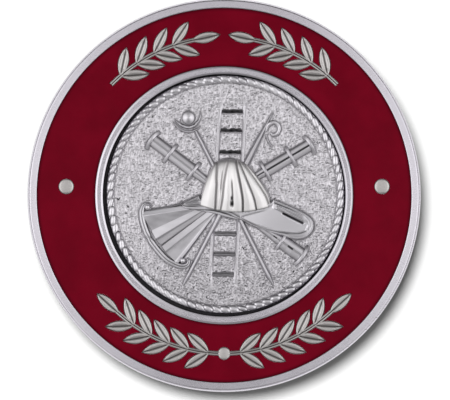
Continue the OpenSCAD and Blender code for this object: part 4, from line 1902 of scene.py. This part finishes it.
            # the dark facets, behind the hollow and at the left end, have an uneven painted shade
            ripple = np.sin(x * 21 + 3 * y) * np.sin(y * 27 - 5 * x)
            behind = 1 - eased(-(y + 1.5 + 0.49 * (x - 4.62)), -0.05, 0.02)
            wedge = behind * eased(x, 3.75, 4.2) * eased(inside, 0.26, 0.36) * (1 - eased(x, 6.2, 6.6))
            height = height + wedge * (0.1 * (y + 2.2) + 0.008 * ripple)
            dark = np.maximum(dark, wedge * (0.42 + 0.12 * ripple))
            fore = (1 - eased(x, -2.1, -1.9)) * eased(y, -0.98, -0.9) * (inside > 0.05)
            dark = np.maximum(dark, fore * (0.5 + 0.1 * ripple))
            for half, depth, tone, line in lines:
                groove = bell(line_distance(line, x, y), half)
                height = height - depth * groove
                dark = np.maximum(dark, tone * groove)
            return height, dark

        closed = np.concatenate([loop, loop[:1]])
        return patch(loop.min(0) - 0.15, loop.max(0) + 0.15, self.brim_pitch, surface, closed)


@dataclass
class Emblem:
    """All the tools in relief on the seal."""

    ladder: Ladder = field(default_factory=Ladder)
    poles: Poles = field(default_factory=Poles)
    pipes: PlayPipes = field(default_factory=PlayPipes)
    trumpets: Trumpets = field(default_factory=Trumpets)
    helmet: Helmet = field(default_factory=Helmet)
    shift: Pair = (-0.04, 0.03)

    def build(self, seal: Seal, satin: bpy.types.Material, polished: bpy.types.Material,
              crown: bpy.types.Material) -> list[Points]:
        """Builds and dresses the tools.

        Args:
            seal: the seal that they stand on.
            satin: finish of the low relief.
            polished: finish of the brim and trumpets.
            crown: finish of the crown.

        Returns:
            The lines where the tools leave the ground.
        """
        spot = replace(seal, x=seal.x + self.shift[0], y=seal.y + self.shift[1])
        self.ladder.build(spot, satin)
        pieces = [("pike_pole", self.poles.pike_pole(), satin, 50),
                  ("ball_pole", self.poles.ball_pole(), satin, 50)]
        pieces += [(f"play_pipe_{number}", shell, satin, 40)
                   for number, shell in enumerate(self.pipes.shells(), 1)]
        pieces += [("trumpets", self.trumpets.fan(), polished, 12),
                   ("trumpet_rims", self.trumpets.rim(), polished, 50),
                   ("helmet_brim", self.helmet.brim(), polished, 60),
                   ("helmet_crown", self.helmet.crown(), crown, 60)]
        lines: list[Points] = []
        for name, shell, material, sharp in pieces:
            finished(spot.set_in(shell).object(name, sharp), material, "struck_metal", "seal")
            lines += [line[:, :2] + self.shift for line in shell.outline]
        return lines


# The studio

@dataclass
class Studio:
    """Pale floor, a soft sky of light, and the camera straight above the badge."""

    # height of the badge's face
    face: float
    # width of the view, and the place that the camera looks at
    view_w: float = 36.31
    aim: Pair = (0.072, -0.378)
    lens: float = 900
    sensor: float = 36
    # side of the floor in metres
    floor_size: float = 4.0
    floor_grey: float = 0.27
    # light on the floor: tilt from straight up, direction that it comes from, strength, and size
    key_tilt: float = 9.6
    key_from: float = 123
    key_strength: float = 10.8
    key_angle: float = 12
    # angle from straight up in degrees, level of light
    sky: tuple[Pair, ...] = ((0, 0.12), (5, 0.15), (10, 1.19), (28, 1.31), (42, 1.0), (60, 0.52),
                             (80, 0.32), (90, 0.3))
    # gain overall, towards -X and towards both sides, then how fast the gain towards +Y changes
    # with height, and the height where it changes sign
    gain: float = 0.84
    west: float = 0.06
    sides: float = 0.7
    low_south: float = 1.5
    turning_z: float = 0.7

    def camera(self) -> None:
        """Camera straight above and far off, with the photograph's frame."""
        data = bpy.data.cameras.new("camera")
        data.lens = self.lens
        data.sensor_width = self.sensor
        data.clip_start = 0.01
        data.clip_end = 20
        obj = linked("camera", data)
        far = self.view_w * self.lens / self.sensor
        obj.location = Vector((*self.aim, self.face + far)) * MM
        bpy.context.scene.camera = obj

    def floor(self) -> bpy.types.Object:
        """Plain pale floor under the badge.

        Returns:
            The floor's object.
        """
        half = self.floor_size / 2
        mesh = bpy.data.meshes.new("floor")
        corners = [(-half, -half, 0), (half, -half, 0), (half, half, 0), (-half, half, 0)]
        mesh.from_pydata(corners, [], [(0, 1, 2, 3)])
        mesh.materials.append(FloorFinish("pale_board", self.floor_grey).material())
        obj = linked("floor", mesh)
        return obj

    def world(self) -> None:
        """Sky of soft light: dark where the camera is, bright in a ring round it."""
        world = bpy.data.worlds.new("sky")
        world.use_nodes = True
        bpy.context.scene.world = world
        t = Tree(world.node_tree)
        unit = t.vector("NORMALIZE", t.node("ShaderNodeTexCoord", out="Generated"))
        x, y, z = (t.part(unit, axis) for axis in "XYZ")
        down = t.maths("ARCCOSINE", z) * (2 / math.pi)
        top = max(level for _, level in self.sky)
        stops = [(degrees / 90, (level / top,) * 3) for degrees, level in self.sky]
        ramp = t.node("ShaderNodeValToRGB", {"stops": stops}, {0: down})
        sides = (x * x - y * y) / (x * x + y * y + 1e-4) * self.sides
        lean = self.gain - x * self.west + sides * z + y * (z - self.turning_z) * self.low_south
        light = t.node("ShaderNodeBackground", None, {"Color": ramp, "Strength": lean * top})
        t.node("ShaderNodeOutputWorld", None, {"Surface": light})

    def key(self, floor: bpy.types.Object) -> None:
        """Light on the floor that draws the badge's shadow to the lower right.

        Args:
            floor: the floor, which alone receives it.
        """
        data = bpy.data.lights.new("floor_key", "SUN")
        data.energy = self.key_strength
        data.angle = math.radians(self.key_angle)
        obj = linked("floor_key", data)
        turn, tilt = math.radians(self.key_from), math.radians(self.key_tilt)
        across = math.sin(tilt)
        toward = Vector((math.cos(turn) * across, math.sin(turn) * across, math.cos(tilt)))
        obj.rotation_euler = toward.to_track_quat("Z", "Y").to_euler()
        lit = bpy.data.collections.new("lit_by_floor_key")
        lit.objects.link(floor)
        obj.light_linking.receiver_collection = lit

    def build(self) -> None:
        """Sets up the studio."""
        view = bpy.context.scene.view_settings
        view.view_transform = "Standard"
        view.look = "None"
        self.camera()
        self.key(self.floor())
        self.world()


def main() -> None:
    """Builds the badge piece by piece, then the studio."""
    logging.basicConfig(level=logging.INFO, format="%(message)s")
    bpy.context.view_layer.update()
    base = StruckBase.from_frame()
    seal = Seal.from_frame()
    metals = {metal.name: metal.material() for metal in METALS}
    base.build(metals["plated_rim"], metals["plated_raised"])
    _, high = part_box("enamel")
    enamel = EnamelFinish("red_enamel", (0.205, 0.0022, 0.0142), (0.068, 0.0012, 0.0072),
                          base.inner_rim_r, high.x / MM).material()
    for name, material in (("enamel", enamel), ("pin_bar", metals["pin_metal"])):
        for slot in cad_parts[name].material_slots:
            slot.material = material
        log.info("%s: CAD node, dressed", name)
    outlines = Emblem().build(seal, metals["satin_relief"], metals["polished_relief"],
                              metals["crown_satin"])
    seal.build(metals["stippled_ground"], metals["rope_metal"], outlines)
    Studio(face=base.top).build()


if __name__ == "__main__":
    main()
